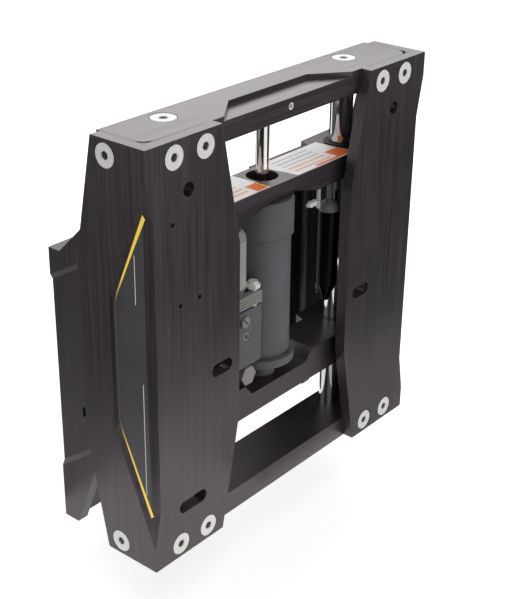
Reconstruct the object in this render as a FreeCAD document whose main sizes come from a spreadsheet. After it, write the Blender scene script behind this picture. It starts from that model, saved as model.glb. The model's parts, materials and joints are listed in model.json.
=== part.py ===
"""Hydraulic jack plate: a lift that carries an outboard motor on a boat's transom.

Frame: the origin is the middle of the transom's upper bolt holes, on the transom face.
+X runs to starboard, +Y from the motor towards the boat, +Z up. Millimetres.

Inside the script, heights are counted from the foot of the lifting frame and depths from
its motor face, because every piece is laid out from those two faces. The function place
moves each piece from there to the frame above.
"""
import FreeCAD, Part
import math
import os
import Sketcher

DOC = FreeCAD.newDocument("jack_plate")
SHEET = DOC.addObject("Spreadsheet::Sheet", "Sizes")
NODES = []

SIGNS = {"+": lambda a, b: a + b, "-": lambda a, b: a - b,
         "*": lambda a, b: a * b, "/": lambda a, b: a / b}


class Dim:
    """A size: its value now, and the sheet formula that keeps it."""

    def __init__(self, value, formula):
        self.value = float(value)
        self.formula = formula

    def __add__(self, other):
        return joined(self, "+", other)

    def __radd__(self, other):
        return joined(other, "+", self)

    def __sub__(self, other):
        return joined(self, "-", other)

    def __rsub__(self, other):
        return joined(other, "-", self)

    def __mul__(self, other):
        return joined(self, "*", other)

    def __rmul__(self, other):
        return joined(other, "*", self)

    def __truediv__(self, other):
        return joined(self, "/", other)

    def __neg__(self):
        return joined(0, "-", self)


def as_dim(number):
    """Take a Dim as it is, and a plain number as one."""
    if isinstance(number, Dim):
        return number
    return Dim(number, "(%s)" % float(number))


def joined(left, sign, right):
    """Work out one sum of two sizes, as a value and as a formula."""
    left, right = as_dim(left), as_dim(right)
    value = SIGNS[sign](left.value, right.value)
    return Dim(value, "(%s %s %s)" % (left.formula, sign, right.formula))


def size(alias, value):
    """Write one driving dimension into the sheet."""
    row = size.rows + 1
    size.rows = row
    SHEET.set("A%d" % row, alias)
    SHEET.set("B%d" % row, str(value))
    SHEET.setAlias("B%d" % row, alias)
    return Dim(value, "Sizes." + alias)


size.rows = 0

# Lifting frame, motor side
frame_width = size("frameWidth", 437.4)
frame_height = size("frameHeight", 449.5)
plate = size("plateThickness", 12.7)
half_width = frame_width / 2
leg_inside = half_width - plate
face_leg_end = size("faceLegEndWidth", 101.6)
face_leg_mid = size("faceLegMiddleWidth", 127.0)
side_leg_end = size("sideLegEndDepth", 68.0)
side_leg_mid = size("sideLegMiddleDepth", 93.5)
taper_height = size("legTaperHeight", 127.0)
bracket_fillet = size("bracketInnerRadius", 9.5)
bar_depth = size("barDepth", 60.3)
bar_height = size("barHeight", 25.4)
bar_corner = size("barFrontCornerRadius", 17.0)
relief_front = size("reliefFrontWidth", 202.0)
relief_back = size("reliefBackWidth", 122.0)
relief_y = size("reliefBackDepth", 42.0)
relief_depth = size("reliefDepth", 4.8)
set_screw = size("setScrewDiameter", 8.0)
set_screw_drop = size("setScrewFromTop", 13.7)
set_screw_z = frame_height - set_screw_drop

# Recess across the outer corner of each side leg
recess_depth = size("recessDepth", 3.0)
recess_reach = size("recessReach", 52.0)
recess_tip = size("recessTipHeight", 26.4)
recess_shoulder = size("recessShoulderHeight", 149.5)
recess_end_run = size("recessEndWallRunPerDepth", 5.3)
corner_cut_face = size("cornerCutOnFace", 8.5)
corner_cut_floor = size("cornerCutOnFloor", 7.5)

# Motor mounting holes
mount_hole = size("mountHoleDiameter", 14.3)
mount_inset = size("mountHoleFromSide", 55.2)
mount_half = half_width - mount_inset
motor_hole_drop = size("motorHoleFromTop", 50.7)
motor_hole_height = frame_height - motor_hole_drop
pattern_drop = size("patternDrop", 203.2)
motor_slot_inset = size("motorSlotFromSide", 100.8)
motor_slot_half = half_width - motor_slot_inset
slot_length = size("slotLength", 30.0)
trim_slot_inset = size("trimSlotFromSide", 55.7)
trim_slot_middle = half_width - trim_slot_inset
trim_slot_height = size("trimSlotHeight", 58.0)
trim_slot_length = size("trimSlotLength", 40.0)
tap_hole = size("tappedHoleDiameter", 4.6)
tap_high_inset = size("upperTappedHoleFromSide", 33.4)
tap_high_x = half_width - tap_high_inset
tap_high_drop = size("upperTappedHoleDrop", 28.5)
tap_high_z = motor_hole_height - tap_high_drop
tap_pair_inset = size("pairTappedHoleFromSide", 55.3)
tap_pair_x = half_width - tap_pair_inset
tap_pair_gap = size("pairTappedHoleSpacing", 26.8)
tap_pair_drop = size("pairTappedHoleDrop", 112.8)
tap_pair_z = motor_hole_height - tap_pair_drop

# Countersunk screws
screw_head = size("screwHeadDiameter", 24.0)
screw_shank = size("screwShankDiameter", 12.0)
screw_length = size("screwLength", 35.0)
screw_land = size("screwHeadLand", 0.3)
screw_sink = size("screwHeadSink", 0.2)
screw_socket = size("screwSocketWidth", 8.0)
screw_socket_depth = size("screwSocketDepth", 5.0)
sink_rim = size("countersinkRim", 25.3)
shank_clearance = size("shankClearance", 0.2)
face_screw_outer = size("faceScrewFromSide", 37.3)
face_screw_inner = size("innerFaceScrewFromSide", 78.8)
screw_from_top = size("screwFromTop", 15.9)
screw_from_foot = size("screwFromFoot", 15.2)
side_screw_y = size("sideScrewDepth", 50.1)
rod_screw_head = size("rodScrewHeadDiameter", 26.0)
rod_sink_rim = size("rodScrewCountersinkRim", 27.3)

# Guide rods, bushes and travel
side_gap = size("gapBetweenBrackets", 2.8)
carriage_half = leg_inside - side_gap
rod_diameter = size("guideRodDiameter", 25.4)
rod_inset = size("guideRodFromFlank", 63.1)
rod_half = carriage_half - rod_inset
rod_y = size("guideRodDepth", 52.8)
rod_seat = size("guideRodSeatDepth", 8.0)
fit_gap = size("runningClearance", 0.1)
seat_gap = size("seatClearance", 0.05)
bush_diameter = size("bushDiameter", 33.0)
wiper_diameter = size("wiperDiameter", 37.0)
wiper_height = size("wiperHeight", 1.2)
travel_down = size("travelDown", 65.5)

# Carriage, transom side
setback = size("setback", 152.4)
upper_bar_drop = size("upperBarBelowFrameTop", 95.0)
upper_bar_top = frame_height - upper_bar_drop
carriage_front = size("carriageFront", 20.0)
carriage_foot = size("carriageFoot", -7.5)
shoulder_drop = size("shoulderBelowUpperBar", 43.5)
carriage_shoulder = upper_bar_top - shoulder_drop
transom_leg_width = size("transomLegWidth", 101.6)
transom_ledge = size("transomLedge", 15.8)
lower_slant_y = size("lowerSlantDepth", 89.5)
lower_slant_foot_y = size("lowerSlantFootDepth", 132.2)
transom_hole_drop = size("transomHoleBelowShoulder", 38.0)
transom_hole_height = carriage_shoulder - transom_hole_drop
transom_slot_inset = size("transomSlotFromFlank", 77.8)
transom_slot_half = carriage_half - transom_slot_inset
panel_front = size("panelFront", 88.0)
panel_drop = size("panelBelowShoulder", 29.6)
panel_top = carriage_shoulder - panel_drop
panel_foot = size("panelFootAtTransom", 56.2)
panel_top_slope = size("panelTopSlope", 0.58)
panel_foot_slope = size("panelFootSlope", 0.73)
panel_bevel = size("panelBevelWidth", 6.0)
wire_slot_y = size("wireSlotDepth", 116.0)
wire_slot_z = size("wireSlotHeight", 134.8)
wire_slot_width = size("wireSlotWidth", 5.0)
wire_slot_length = size("wireSlotLength", 12.0)

# Cross bars of the carriage
upper_bar_mid = size("upperBarMiddleHeight", 15.3)
cross_bar_end = size("crossBarEndHeight", 25.4)
upper_relief_inner = size("upperReliefInner", 20.0)
upper_relief_outer = size("upperReliefOuter", 58.0)
cross_bar_rear = size("crossBarRear", 72.1)
cross_bar_step = size("crossBarStep", 107.0)
cross_bar_step_y = size("crossBarStepDepth", 86.0)
cross_bar_end_y = size("crossBarEndDepth", 89.2)
lower_bar_foot = size("lowerBarFoot", 101.5)
lower_bar_mid = size("lowerBarMiddleHeight", 24.5)
lower_bar_end = size("lowerBarEndHeight", 37.5)
lower_kink_inner = size("lowerKinkInner", 47.0)
lower_kink_outer = size("lowerKinkOuter", 58.0)
rod_passage = size("rodPassageDiameter", 34.0)
bar_screw_front_y = size("crossBarScrewFrontDepth", 32.0)
bar_screw_rear_y = size("crossBarScrewRearDepth", 66.0)

# Hydraulic cylinder
ram_y = size("ramDepth", 49.0)
ram_rod = size("ramRodDiameter", 14.3)
ram_rod_drop = size("ramRodBelowTop", 9.5)
ram_rod_top = frame_height - ram_rod_drop
barrel_foot = size("barrelFoot", 146.0)
barrel_base_height = size("barrelBaseHeight", 9.0)
barrel_base_top = barrel_foot + barrel_base_height
barrel_base_radius = size("barrelBaseRadius", 37.6)
barrel_neck_height = size("barrelNeckHeight", 3.0)
barrel_neck_top = barrel_base_top + barrel_neck_height
barrel_neck_radius = size("barrelNeckRadius", 30.0)
barrel_foot_radius = size("barrelFootRadius", 32.2)
barrel_top_radius = size("barrelTopRadius", 31.6)
barrel_bore = size("barrelBoreRadius", 24.0)
barrel_floor_wall = size("barrelFloorWall", 15.0)
barrel_floor = barrel_foot + barrel_floor_wall
spigot_radius = size("spigotRadius", 28.0)
head_gap = size("headToUpperBar", 5.2)
head_top = upper_bar_top - upper_bar_mid - head_gap
head_height = size("headHeight", 41.0)
head_foot = head_top - head_height
spigot_height = size("spigotHeight", 13.0)
barrel_top = head_foot + spigot_height
head_radius = size("headRadius", 34.3)
head_wall = size("headEndWall", 13.0)
head_bore_top = head_top - head_wall
wiper_pocket = size("wiperPocketDepth", 5.0)
wiper_pocket_radius = size("wiperPocketRadius", 12.0)
foot_lug_radius = size("footLugRadius", 17.0)
piston_length = size("pistonLength", 18.0)
piston_gap = size("pistonClearance", 0.3)
ring_depth = size("pistonRingDepth", 2.5)
ring_height = size("pistonRingHeight", 4.0)

# Pump, valve block and fittings
block_left = size("blockLeft", 92.0)
block_right = size("blockRight", 28.0)
block_front = size("blockFront", 24.0)
block_rear = size("blockRear", 66.0)
block_foot = size("blockFoot", 160.0)
block_top = size("blockTop", 230.0)
block_gap = size("blockToBarrelGap", 0.3)
block_step_y = size("blockStepDepth", 31.0)
block_step = size("blockStepHeight", 4.0)
ear_left = size("earLeft", 63.0)
ear_right = size("earRight", 38.0)
ear_front = size("earFront", 32.0)
ear_foot = size("earFoot", 140.5)
ear_bolt_x = size("earBoltOffset", 50.0)
ear_bolt_z = size("earBoltHeight", 148.5)
ear_bolt_shank = size("earBoltShank", 12.0)
ear_bolt_width = size("earBoltHeadWidth", 20.0)
ear_bolt_head = size("earBoltHeadHeight", 8.0)
washer_radius = size("washerRadius", 11.2)
washer_height = size("washerHeight", 1.8)
pump_x = size("pumpOffset", 61.5)
pump_y = size("pumpDepth", 43.5)
pump_radius = size("pumpRadius", 21.5)
pump_flange_height = size("pumpFlangeHeight", 5.0)
pump_neck_radius = size("pumpNeckRadius", 18.0)
pump_neck_height = size("pumpNeckHeight", 23.0)
motor_foot = block_top + pump_neck_height
motor_radius = size("motorRadius", 20.0)
motor_drop = size("motorBelowHead", 17.0)
motor_top = head_top - motor_drop
motor_cap_height = size("motorCapHeight", 11.0)
motor_cap_foot = motor_top - motor_cap_height
valve_x = size("valveOffset", 56.0)
valve_z = size("valveHeight", 214.5)
valve_head_radius = size("valveHeadRadius", 6.5)
valve_head = size("valveHeadHeight", 3.0)
valve_shank_radius = size("valveShankRadius", 4.5)
valve_shank = size("valveShankLength", 16.0)
valve_slot = size("valveSlotWidth", 1.6)
valve_turn = 51
plug_radius = size("plugRadius", 5.0)
plug_x = size("plugOffset", 52.0)
plug_z = size("plugHeight", 195.4)
fitting_x = size("fittingOffset", 37.0)
fitting_y = size("fittingDepth", 28.5)
fitting_width = size("fittingHexWidth", 13.0)
fitting_hex = size("fittingHexHeight", 5.0)
fitting_stem = size("fittingStemRadius", 4.0)
fitting_rise = size("fittingRise", 16.5)
fitting_cap = size("fittingCapHeight", 2.5)
can_x = size("reservoirOffset", 97.0)
can_y = size("reservoirDepth", 33.0)
can_radius = size("reservoirRadius", 12.0)
can_clearance = size("reservoirAboveLowerBar", 43.0)
can_foot = lower_bar_foot + lower_bar_end + can_clearance
can_taper = size("reservoirTaperHeight", 21.0)
can_taper_top = can_foot + can_taper
can_foot_radius = size("reservoirFootRadius", 3.0)
dome_drop = size("domeBelowBar", 37.1)
dome_foot = upper_bar_top - cross_bar_end - dome_drop
dome_height = size("domeHeight", 12.0)
stud_radius = size("studRadius", 3.0)
elbow_x = size("elbowOffset", 82.2)
elbow_y = size("elbowDepth", 36.5)
elbow_drop = size("elbowBelowBar", 24.0)
elbow_z = upper_bar_top - cross_bar_end - elbow_drop
elbow_radius = size("elbowRadius", 3.8)
elbow_reach = size("elbowReach", 17.0)
tube_radius = size("tubeRadius", 2.2)
tube_tail = size("tubeTail", 8.0)
over = size("cutterOvershoot", 5.0)

SHEET.recompute()

carriage_inside = carriage_half - plate
bar_rear = plate + bar_depth
motor_slot_height = motor_hole_height - pattern_drop
transom_slot_height = transom_hole_height - pattern_drop
rod_radius = rod_diameter / 2
rod_foot = bar_height - rod_seat
rod_top = frame_height - bar_height + rod_seat
piston_foot = barrel_floor + 1 + travel_down
upper_bar_end_foot = upper_bar_top - cross_bar_end
lower_bar_mid_top = lower_bar_foot + lower_bar_mid
lower_bar_end_top = lower_bar_foot + lower_bar_end

UP = FreeCAD.Rotation()
DOWN = FreeCAD.Rotation(FreeCAD.Vector(1, 0, 0), 180)
TO_MOTOR = FreeCAD.Rotation(FreeCAD.Vector(1, 0, 0), 90)
TO_PORT = FreeCAD.Rotation(FreeCAD.Vector(0, 1, 0), -90)
TO_STARBOARD = FreeCAD.Rotation(FreeCAD.Vector(0, 1, 0), 90)


def bind(thing, **sizes):
    """Set properties of an object and tie each to its formula."""
    for name, dim in sizes.items():
        dim = as_dim(dim)
        setattr(thing, name, dim.value)
        thing.setExpression(name, dim.formula)


def place(thing, x=0, y=0, z=0, turn=UP):
    """Put an object at a point counted from the motor face and the frame's foot."""
    point = [as_dim(x), as_dim(y) - setback, as_dim(z) - transom_hole_height]
    base = FreeCAD.Vector(*[dim.value for dim in point])
    thing.Placement = FreeCAD.Placement(base, turn)
    for axis, dim in zip("xyz", point):
        thing.setExpression("Placement.Base." + axis, dim.formula)


def keep(thing, label):
    """Make an object a node of the part."""
    thing.Label = label
    NODES.append(thing)
    return thing


def new_body(name, x=0, y=0, z=0, turn=UP):
    """Start one solid piece."""
    body = DOC.addObject("PartDesign::Body", name)
    place(body, x, y, z, turn)
    return body


def new_sketch(body, name, role, offset=0):
    """Start a sketch on one of the body's own origin planes."""
    sketch = body.newObject("Sketcher::SketchObject", name)
    plane = [feature for feature in body.Origin.OriginFeatures if feature.Role == role][0]
    sketch.AttachmentSupport = [(plane, "")]
    sketch.MapMode = "FlatFace"
    offset = as_dim(offset)
    sketch.AttachmentOffset = FreeCAD.Placement(FreeCAD.Vector(0, 0, offset.value), UP)
    sketch.setExpression("AttachmentOffset.Base.z", offset.formula)
    return sketch


def pin(sketch, geometry, end, point):
    """Hold one sketch point at its two formulas."""
    for kind, value in zip(("DistanceX", "DistanceY"), point):
        dim = as_dim(value)
        rule = Sketcher.Constraint(kind, -1, 1, geometry, end, dim.value)
        index = sketch.addConstraint(rule)
        sketch.setExpression("Constraints[%d]" % index, dim.formula)


def rule_size(sketch, kind, geometry, dim):
    """Hold a radius or a diameter of a sketch at its formula."""
    dim = as_dim(dim)
    index = sketch.addConstraint(Sketcher.Constraint(kind, geometry, dim.value))
    sketch.setExpression("Constraints[%d]" % index, dim.formula)


def flat(point):
    """Turn a pair of sizes into a point of the sketch's plane."""
    return FreeCAD.Vector(as_dim(point[0]).value, as_dim(point[1]).value, 0)


def polygon(sketch, points):
    """Draw a closed outline through points, each held at its formulas."""
    first = sketch.GeometryCount
    count = len(points)
    for index, point in enumerate(points):
        after = points[(index + 1) % count]
        sketch.addGeometry(Part.LineSegment(flat(point), flat(after)))
    for index in range(count):
        after = first + (index + 1) % count
        sketch.addConstraint(Sketcher.Constraint("Coincident", first + index, 2, after, 1))
    for index, point in enumerate(points):
        pin(sketch, first + index, 1, point)


def circle(sketch, centre, diameter):
    """Draw a circle held at its centre and diameter."""
    radius = as_dim(diameter).value / 2
    shape = Part.Circle(flat(centre), FreeCAD.Vector(0, 0, 1), radius)
    index = sketch.addGeometry(shape)
    pin(sketch, index, 3, centre)
    rule_size(sketch, "Diameter", index, diameter)


def slot(sketch, centre, length, width, upright=False):
    """Draw a round-ended slot, lying or upright."""
    half_run = (as_dim(length) - width) / 2
    radius = as_dim(width) / 2
    shift = (0, half_run) if upright else (half_run, 0)
    ends = [(centre[0] + shift[0] * sign, centre[1] + shift[1] * sign) for sign in (1, -1)]
    first = sketch.GeometryCount
    start = 0 if upright else -math.pi / 2
    for turn, end in enumerate(ends):
        base = Part.Circle(flat(end), FreeCAD.Vector(0, 0, 1), radius.value)
        angle = start + turn * math.pi
        sketch.addGeometry(Part.ArcOfCircle(base, angle, angle + math.pi))
    far, near = [sketch.Geometry[first + index] for index in (0, 1)]
    sketch.addGeometry(Part.LineSegment(far.EndPoint, near.StartPoint))
    sketch.addGeometry(Part.LineSegment(near.EndPoint, far.StartPoint))
    joins = ((0, 2, 2, 1), (2, 2, 1, 1), (1, 2, 3, 1), (3, 2, 0, 1))
    for one, one_end, two, two_end in joins:
        rule = Sketcher.Constraint("Tangent", first + one, one_end, first + two, two_end)
        sketch.addConstraint(rule)
    for index, end in enumerate(ends):
        pin(sketch, first + index, 3, end)
    rule_size(sketch, "Radius", first, radius)


def pad(body, sketch, length, backwards=False):
    """Grow a sketch into solid."""
    feature = body.newObject("PartDesign::Pad", sketch.Name + "Pad")
    feature.Profile = sketch
    feature.Reversed = backwards
    bind(feature, Length=length)
    DOC.recompute()
    return feature


def cut_volume(body, feature, before):
    """Recompute a cutting feature and make sure that it took something away."""
    DOC.recompute()
    if not feature.Shape.Volume < before - 0.01:
        raise RuntimeError("%s cuts nothing" % feature.Label)
    body.Tip = feature
    return feature


def pocket(body, sketch, length=None, backwards=False):
    """Cut a sketch to a depth, or right through."""
    before = body.Shape.Volume
    feature = body.newObject("PartDesign::Pocket", sketch.Name + "Pocket")
    feature.Profile = sketch
    feature.Reversed = backwards
    if length is None:
        feature.Type = "ThroughAll"
    else:
        bind(feature, Length=length)
    return cut_volume(body, feature, before)


def countersink(body, sketch, shank, rim, depth=None, backwards=False):
    """Cut countersunk screw holes at the circles of a sketch."""
    before = body.Shape.Volume
    feature = body.newObject("PartDesign::Hole", sketch.Name + "Hole")
    feature.Profile = sketch
    DOC.recompute()
    feature.ThreadType = "None"
    feature.Reversed = backwards
    bind(feature, Diameter=shank)
    if depth is None:
        feature.DepthType = "ThroughAll"
    else:
        feature.DepthType = "Dimension"
        feature.DrillPoint = "Flat"
        bind(feature, Depth=depth)
    feature.HoleCutType = "Countersink"
    feature.HoleCutCustomValues = True
    feature.HoleCutCountersinkAngle = 90
    bind(feature, HoleCutDiameter=rim)
    return cut_volume(body, feature, before)


def hollow_between(body, near, far):
    """Cut the solid with flat walls that joins two outlines."""
    before = body.Shape.Volume
    feature = body.newObject("PartDesign::SubtractiveLoft", near.Name + "Loft")
    feature.Profile = near
    feature.Sections = [far]
    feature.Ruled = True
    return cut_volume(body, feature, before)


def groove(body, sketch):
    """Cut a half outline turned about the sketch's upright axis."""
    before = body.Shape.Volume
    feature = body.newObject("PartDesign::Groove", sketch.Name + "Groove")
    feature.Profile = sketch
    feature.ReferenceAxis = (sketch, ["V_Axis"])
    feature.Angle = 360
    return cut_volume(body, feature, before)


def round_edges(body, name, radius, wanted):
    """Round the edges that a test picks out."""
    base = body.Tip
    shift = body.Placement.inverse()
    names = []
    for index, edge in enumerate(body.Shape.Edges):
        ends = [shift.multVec(vertex.Point) for vertex in edge.Vertexes]
        if len(ends) == 2 and wanted(*ends):
            names.append("Edge%d" % (index + 1))
    feature = body.newObject("PartDesign::Fillet", name)
    feature.Base = (base, names)
    bind(feature, Radius=radius)
    DOC.recompute()
    body.Tip = feature
    return feature


def upright_edge(x, y):
    """Make a test for edges that stand on one point of the plan."""
    goal = flat((x, y))

    def wanted(one, two):
        return all(math.hypot(end.x - goal.x, end.y - goal.y) < 0.01 for end in (one, two))
    return wanted


def turned(name, profile, x=0, y=0, z=0, turn=UP):
    """Make a turned piece from its half outline of radii and heights."""
    body = new_body(name, x, y, z, turn)
    sketch = new_sketch(body, name + "Outline", "XZ_Plane")
    polygon(sketch, profile)
    feature = body.newObject("PartDesign::Revolution", name + "Turned")
    feature.Profile = sketch
    feature.ReferenceAxis = (sketch, ["V_Axis"])
    feature.Angle = 360
    DOC.recompute()
    return body


def hexagon(sketch, width):
    """Draw a hexagon of a width across its flats about the sketch's origin."""
    corner = as_dim(width) / math.sqrt(3)
    angles = [math.radians(60 * step) for step in range(6)]
    polygon(sketch, [(corner * math.cos(a), corner * math.sin(a)) for a in angles])


def bar_across(sketch, reach, thin, angle):
    """Draw a driver's slot through the sketch's origin, turned by an angle in degrees."""
    run, rise = math.cos(math.radians(angle)), math.sin(math.radians(angle))
    corners = ((-reach, -thin), (reach, -thin), (reach, thin), (-reach, thin))
    polygon(sketch, [(a * run - b * rise, a * rise + b * run) for a, b in corners])


def ring(name, inner, outer, foot, top, x, y):
    """Make a plain ring standing on a point of the plan."""
    profile = [(inner, foot), (outer, foot), (outer, top), (inner, top)]
    return turned(name, profile, x, y)


def copies(label, source, places):
    """Make one node of equal pieces, each at its place and turn."""
    links = []
    for index, (x, y, z, turn) in enumerate(places):
        link = DOC.addObject("App::Link", "%s_%d" % (label, index + 1))
        link.LinkedObject = source
        place(link, x, y, z, turn)
        links.append(link)
    group = DOC.addObject("Part::Compound", label)
    group.Links = links
    DOC.recompute()
    return keep(group, label)


def face_screw_xs():
    """List the offsets of the four screws along a bar's face."""
    spots = [half_width - face_screw_outer, half_width - face_screw_inner]
    return [spot * side for side in (-1, 1) for spot in spots]


def motor_bracket(label, side):
    """Make one angle bracket of the lifting frame, side -1 for port and 1 for starboard."""
    body = new_body(label)
    outside = half_width * side
    inside = leg_inside * side
    face_mid = (half_width - face_leg_mid) * side
    face_end = (half_width - face_leg_end) * side

    section = new_sketch(body, label + "Section", "XY_Plane")
    polygon(section, [(outside, 0), (face_mid, 0), (face_mid, plate), (inside, plate),
                      (inside, side_leg_mid), (outside, side_leg_mid)])
    pad(body, section, frame_height)
    round_edges(body, label + "Inner", bracket_fillet, upright_edge(inside, plate))

    tapers = new_sketch(body, label + "FaceTapers", "XZ_Plane")
    spare = face_mid - over * side
    polygon(tapers, [(face_end, 0), (face_mid, taper_height), (spare, taper_height),
                     (spare, -over), (face_end, -over)])
    upper = frame_height - taper_height
    polygon(tapers, [(face_end, frame_height), (face_mid, upper), (spare, upper),
                     (spare, frame_height + over), (face_end, frame_height + over)])
    pocket(body, tapers)

    tapers = new_sketch(body, label + "SideTapers", "YZ_Plane", outside)
    spare = side_leg_mid + over
    polygon(tapers, [(side_leg_end, 0), (side_leg_mid, taper_height), (spare, taper_height),
                     (spare, -over), (side_leg_end, -over)])
    polygon(tapers, [(side_leg_end, frame_height), (side_leg_mid, upper), (spare, upper),
                     (spare, frame_height + over), (side_leg_end, frame_height + over)])
    pocket(body, tapers, backwards=side < 0)

    corner_recess(body, label, side)
    mounting_holes(body, label, side)
    bracket_screw_holes(body, label, side)
    return keep(body, label)


def corner_recess(body, label, side):
    """Sink the panel of the side leg, with sloping end walls that run out at the corner.

    Two solids are cut: the panel itself, and the cut corner that carries its end walls on
    down to the motor face, so that each end closes in a point on the corner.
    """
    slope = (recess_shoulder - recess_tip) / recess_reach

    def wall(y, depth):
        return recess_tip + slope * y + recess_end_run * depth

    def outline(name, depth, reach):
        sketch = new_sketch(body, label + name, "YZ_Plane", (half_width - depth) * side)
        low = [(-over, wall(-over, depth)), (reach, wall(reach, depth))]
        high = [(y, frame_height - z) for y, z in reversed(low)]
        polygon(sketch, low + high)
        return sketch

    outer = -recess_depth / 3
    hollow_between(body, outline("PanelRim", outer, recess_reach - outer),
                   outline("PanelFloor", recess_depth, recess_reach - recess_depth))
    hollow_between(body, outline("CornerRim", recess_depth, corner_cut_floor),
                   outline("CornerFloor", corner_cut_face, 0))


def mounting_holes(body, label, side):
    """Drill the motor's holes and slots, and on the port bracket the trim slot and taps."""
    holes = new_sketch(body, label + "MountHoles", "XZ_Plane")
    circle(holes, (mount_half * side, motor_hole_height), mount_hole)
    slot(holes, (motor_slot_half * side, motor_slot_height), slot_length, mount_hole)
    if side < 0:
        slot(holes, (-trim_slot_middle, trim_slot_height), trim_slot_length, mount_hole)
        circle(holes, (-tap_high_x, tap_high_z), tap_hole)
        circle(holes, (-tap_pair_x - tap_pair_gap / 2, tap_pair_z), tap_hole)
        circle(holes, (-tap_pair_x + tap_pair_gap / 2, tap_pair_z), tap_hole)
    pocket(body, holes, plate + over)


def bracket_screw_holes(body, label, side):
    """Countersink the bracket for the screws that hold the two bars."""
    heights = (screw_from_foot, frame_height - screw_from_top)
    shank = screw_shank + shank_clearance * 2
    face = new_sketch(body, label + "FaceScrews", "XZ_Plane")
    for height in heights:
        circle(face, ((half_width - face_screw_outer) * side, height), shank)
        circle(face, ((half_width - face_screw_inner) * side, height), shank)
    countersink(body, face, shank, sink_rim, plate)

    flank = new_sketch(body, label + "SideScrews", "YZ_Plane", half_width * side)
    for height in heights:
        circle(flank, (side_screw_y, height), shank)
    countersink(body, flank, shank, sink_rim, plate, backwards=side < 0)


def frame_bar(label, foot, screw_height, rod_side):
    """Make a bar that joins the two brackets; rod_side is where the guide rods enter it."""
    body = new_body(label)
    section = new_sketch(body, label + "Plan", "XY_Plane", foot)
    polygon(section, [(-leg_inside, plate), (leg_inside, plate), (leg_inside, bar_rear),
                      (-leg_inside, bar_rear)])
    pad(body, section, bar_height)

    def front_corner(one, two):
        return (abs(one.x - two.x) < 0.01 and abs(one.y - plate.value) < 0.01
                and abs(two.y - plate.value) < 0.01)
    round_edges(body, label + "Corners", bar_corner, front_corner)

    seats = new_sketch(body, label + "RodSeats", "XY_Plane",
                       foot if rod_side < 0 else foot + bar_height)
    for side in (-1, 1):
        circle(seats, (rod_half * side, rod_y), rod_diameter + seat_gap * 2)
    pocket(body, seats, rod_seat, backwards=rod_side < 0)

    screws = new_sketch(body, label + "RodScrews", "XY_Plane",
                        foot if rod_side > 0 else foot + bar_height)
    for side in (-1, 1):
        circle(screws, (rod_half * side, rod_y), screw_shank + shank_clearance * 2)
    countersink(body, screws, screw_shank + shank_clearance * 2, rod_sink_rim,
                bar_height - rod_seat, backwards=rod_side > 0)

    depth = screw_length - plate + 1
    taps = new_sketch(body, label + "FaceTaps", "XZ_Plane", -plate)
    for x in face_screw_xs():
        circle(taps, (x, screw_height), screw_shank + shank_clearance)
    pocket(body, taps, depth)
    for side in (-1, 1):
        name = label + ("PortTap" if side < 0 else "StarboardTap")
        taps = new_sketch(body, name, "YZ_Plane", leg_inside * side)
        circle(taps, (side_screw_y, screw_height), screw_shank + shank_clearance)
        pocket(body, taps, depth, backwards=side < 0)
    return keep(body, label)


def top_bar():
    """Make the top bar, with its shallow relief, ram seat and set screw hole."""
    foot = frame_height - bar_height
    body = frame_bar("top_bar", foot, frame_height - screw_from_top, -1)

    relief = new_sketch(body, "TopRelief", "XY_Plane", frame_height)
    half_front, half_back, back = relief_front / 2, relief_back / 2, relief_y
    front = plate - over
    grow = (half_front - half_back) / (back - plate) * over
    polygon(relief, [(-half_front - grow, front), (half_front + grow, front),
                     (half_back, back), (-half_back, back)])
    pocket(body, relief, relief_depth)

    seat = new_sketch(body, "RamSeat", "XY_Plane", foot)
    circle(seat, (0, ram_y), ram_rod + seat_gap * 2)
    pocket(body, seat, ram_rod_top - foot + 0.5, backwards=True)

    tap = new_sketch(body, "SetScrewHole", "XZ_Plane", -plate)
    circle(tap, (0, set_screw_z), set_screw + seat_gap * 2)
    pocket(body, tap, ram_y - plate)
    return body

def rods():
    """Make the guide rods, the ram's rod and its piston, and the set screw."""
    length = rod_top - rod_foot
    hole_depth = screw_length
    hole = (screw_shank + shank_clearance) / 2
    for side, label in ((-1, "guide_rod_left"), (1, "guide_rod_right")):
        profile = [(0, hole_depth), (hole, hole_depth), (hole, 0), (rod_radius, 0),
                   (rod_radius, length), (hole, length), (hole, length - hole_depth),
                   (0, length - hole_depth)]
        keep(turned(label, profile, rod_half * side, rod_y, rod_foot), label)

    radius = ram_rod / 2
    neck = radius - 2
    profile = [(0, piston_foot), (neck, piston_foot), (neck, piston_foot + piston_length),
               (radius, piston_foot + piston_length), (radius, ram_rod_top), (0, ram_rod_top)]
    keep(turned("piston_rod", profile, 0, ram_y), "piston_rod")

    outer = barrel_bore - piston_gap
    inner = outer - ring_depth
    ring_foot = piston_foot + (piston_length - ring_height) / 2
    ring_top = ring_foot + ring_height
    top = piston_foot + piston_length - seat_gap
    profile = [(neck + seat_gap, piston_foot), (outer, piston_foot), (outer, ring_foot),
               (inner, ring_foot), (inner, ring_top), (outer, ring_top), (outer, top),
               (neck + seat_gap, top)]
    keep(turned("piston", profile, 0, ram_y), "piston")
    seal = ring("piston_seal", inner + seat_gap, outer + piston_gap / 2,
                ring_foot + seat_gap, ring_top - seat_gap, 0, ram_y)
    keep(seal, "piston_seal")

    reach = ram_y - radius - plate - seat_gap
    profile = [(0, -reach), (set_screw / 2, -reach), (set_screw / 2, -0.5), (0, -0.5)]
    screw = turned("rod_set_screw", profile, 0, plate, set_screw_z, TO_MOTOR)
    socket = new_sketch(screw, "SetScrewSocket", "XY_Plane", -0.5)
    hexagon(socket, set_screw / 2)
    pocket(screw, socket, set_screw / 2)
    keep(screw, "rod_set_screw")


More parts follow.
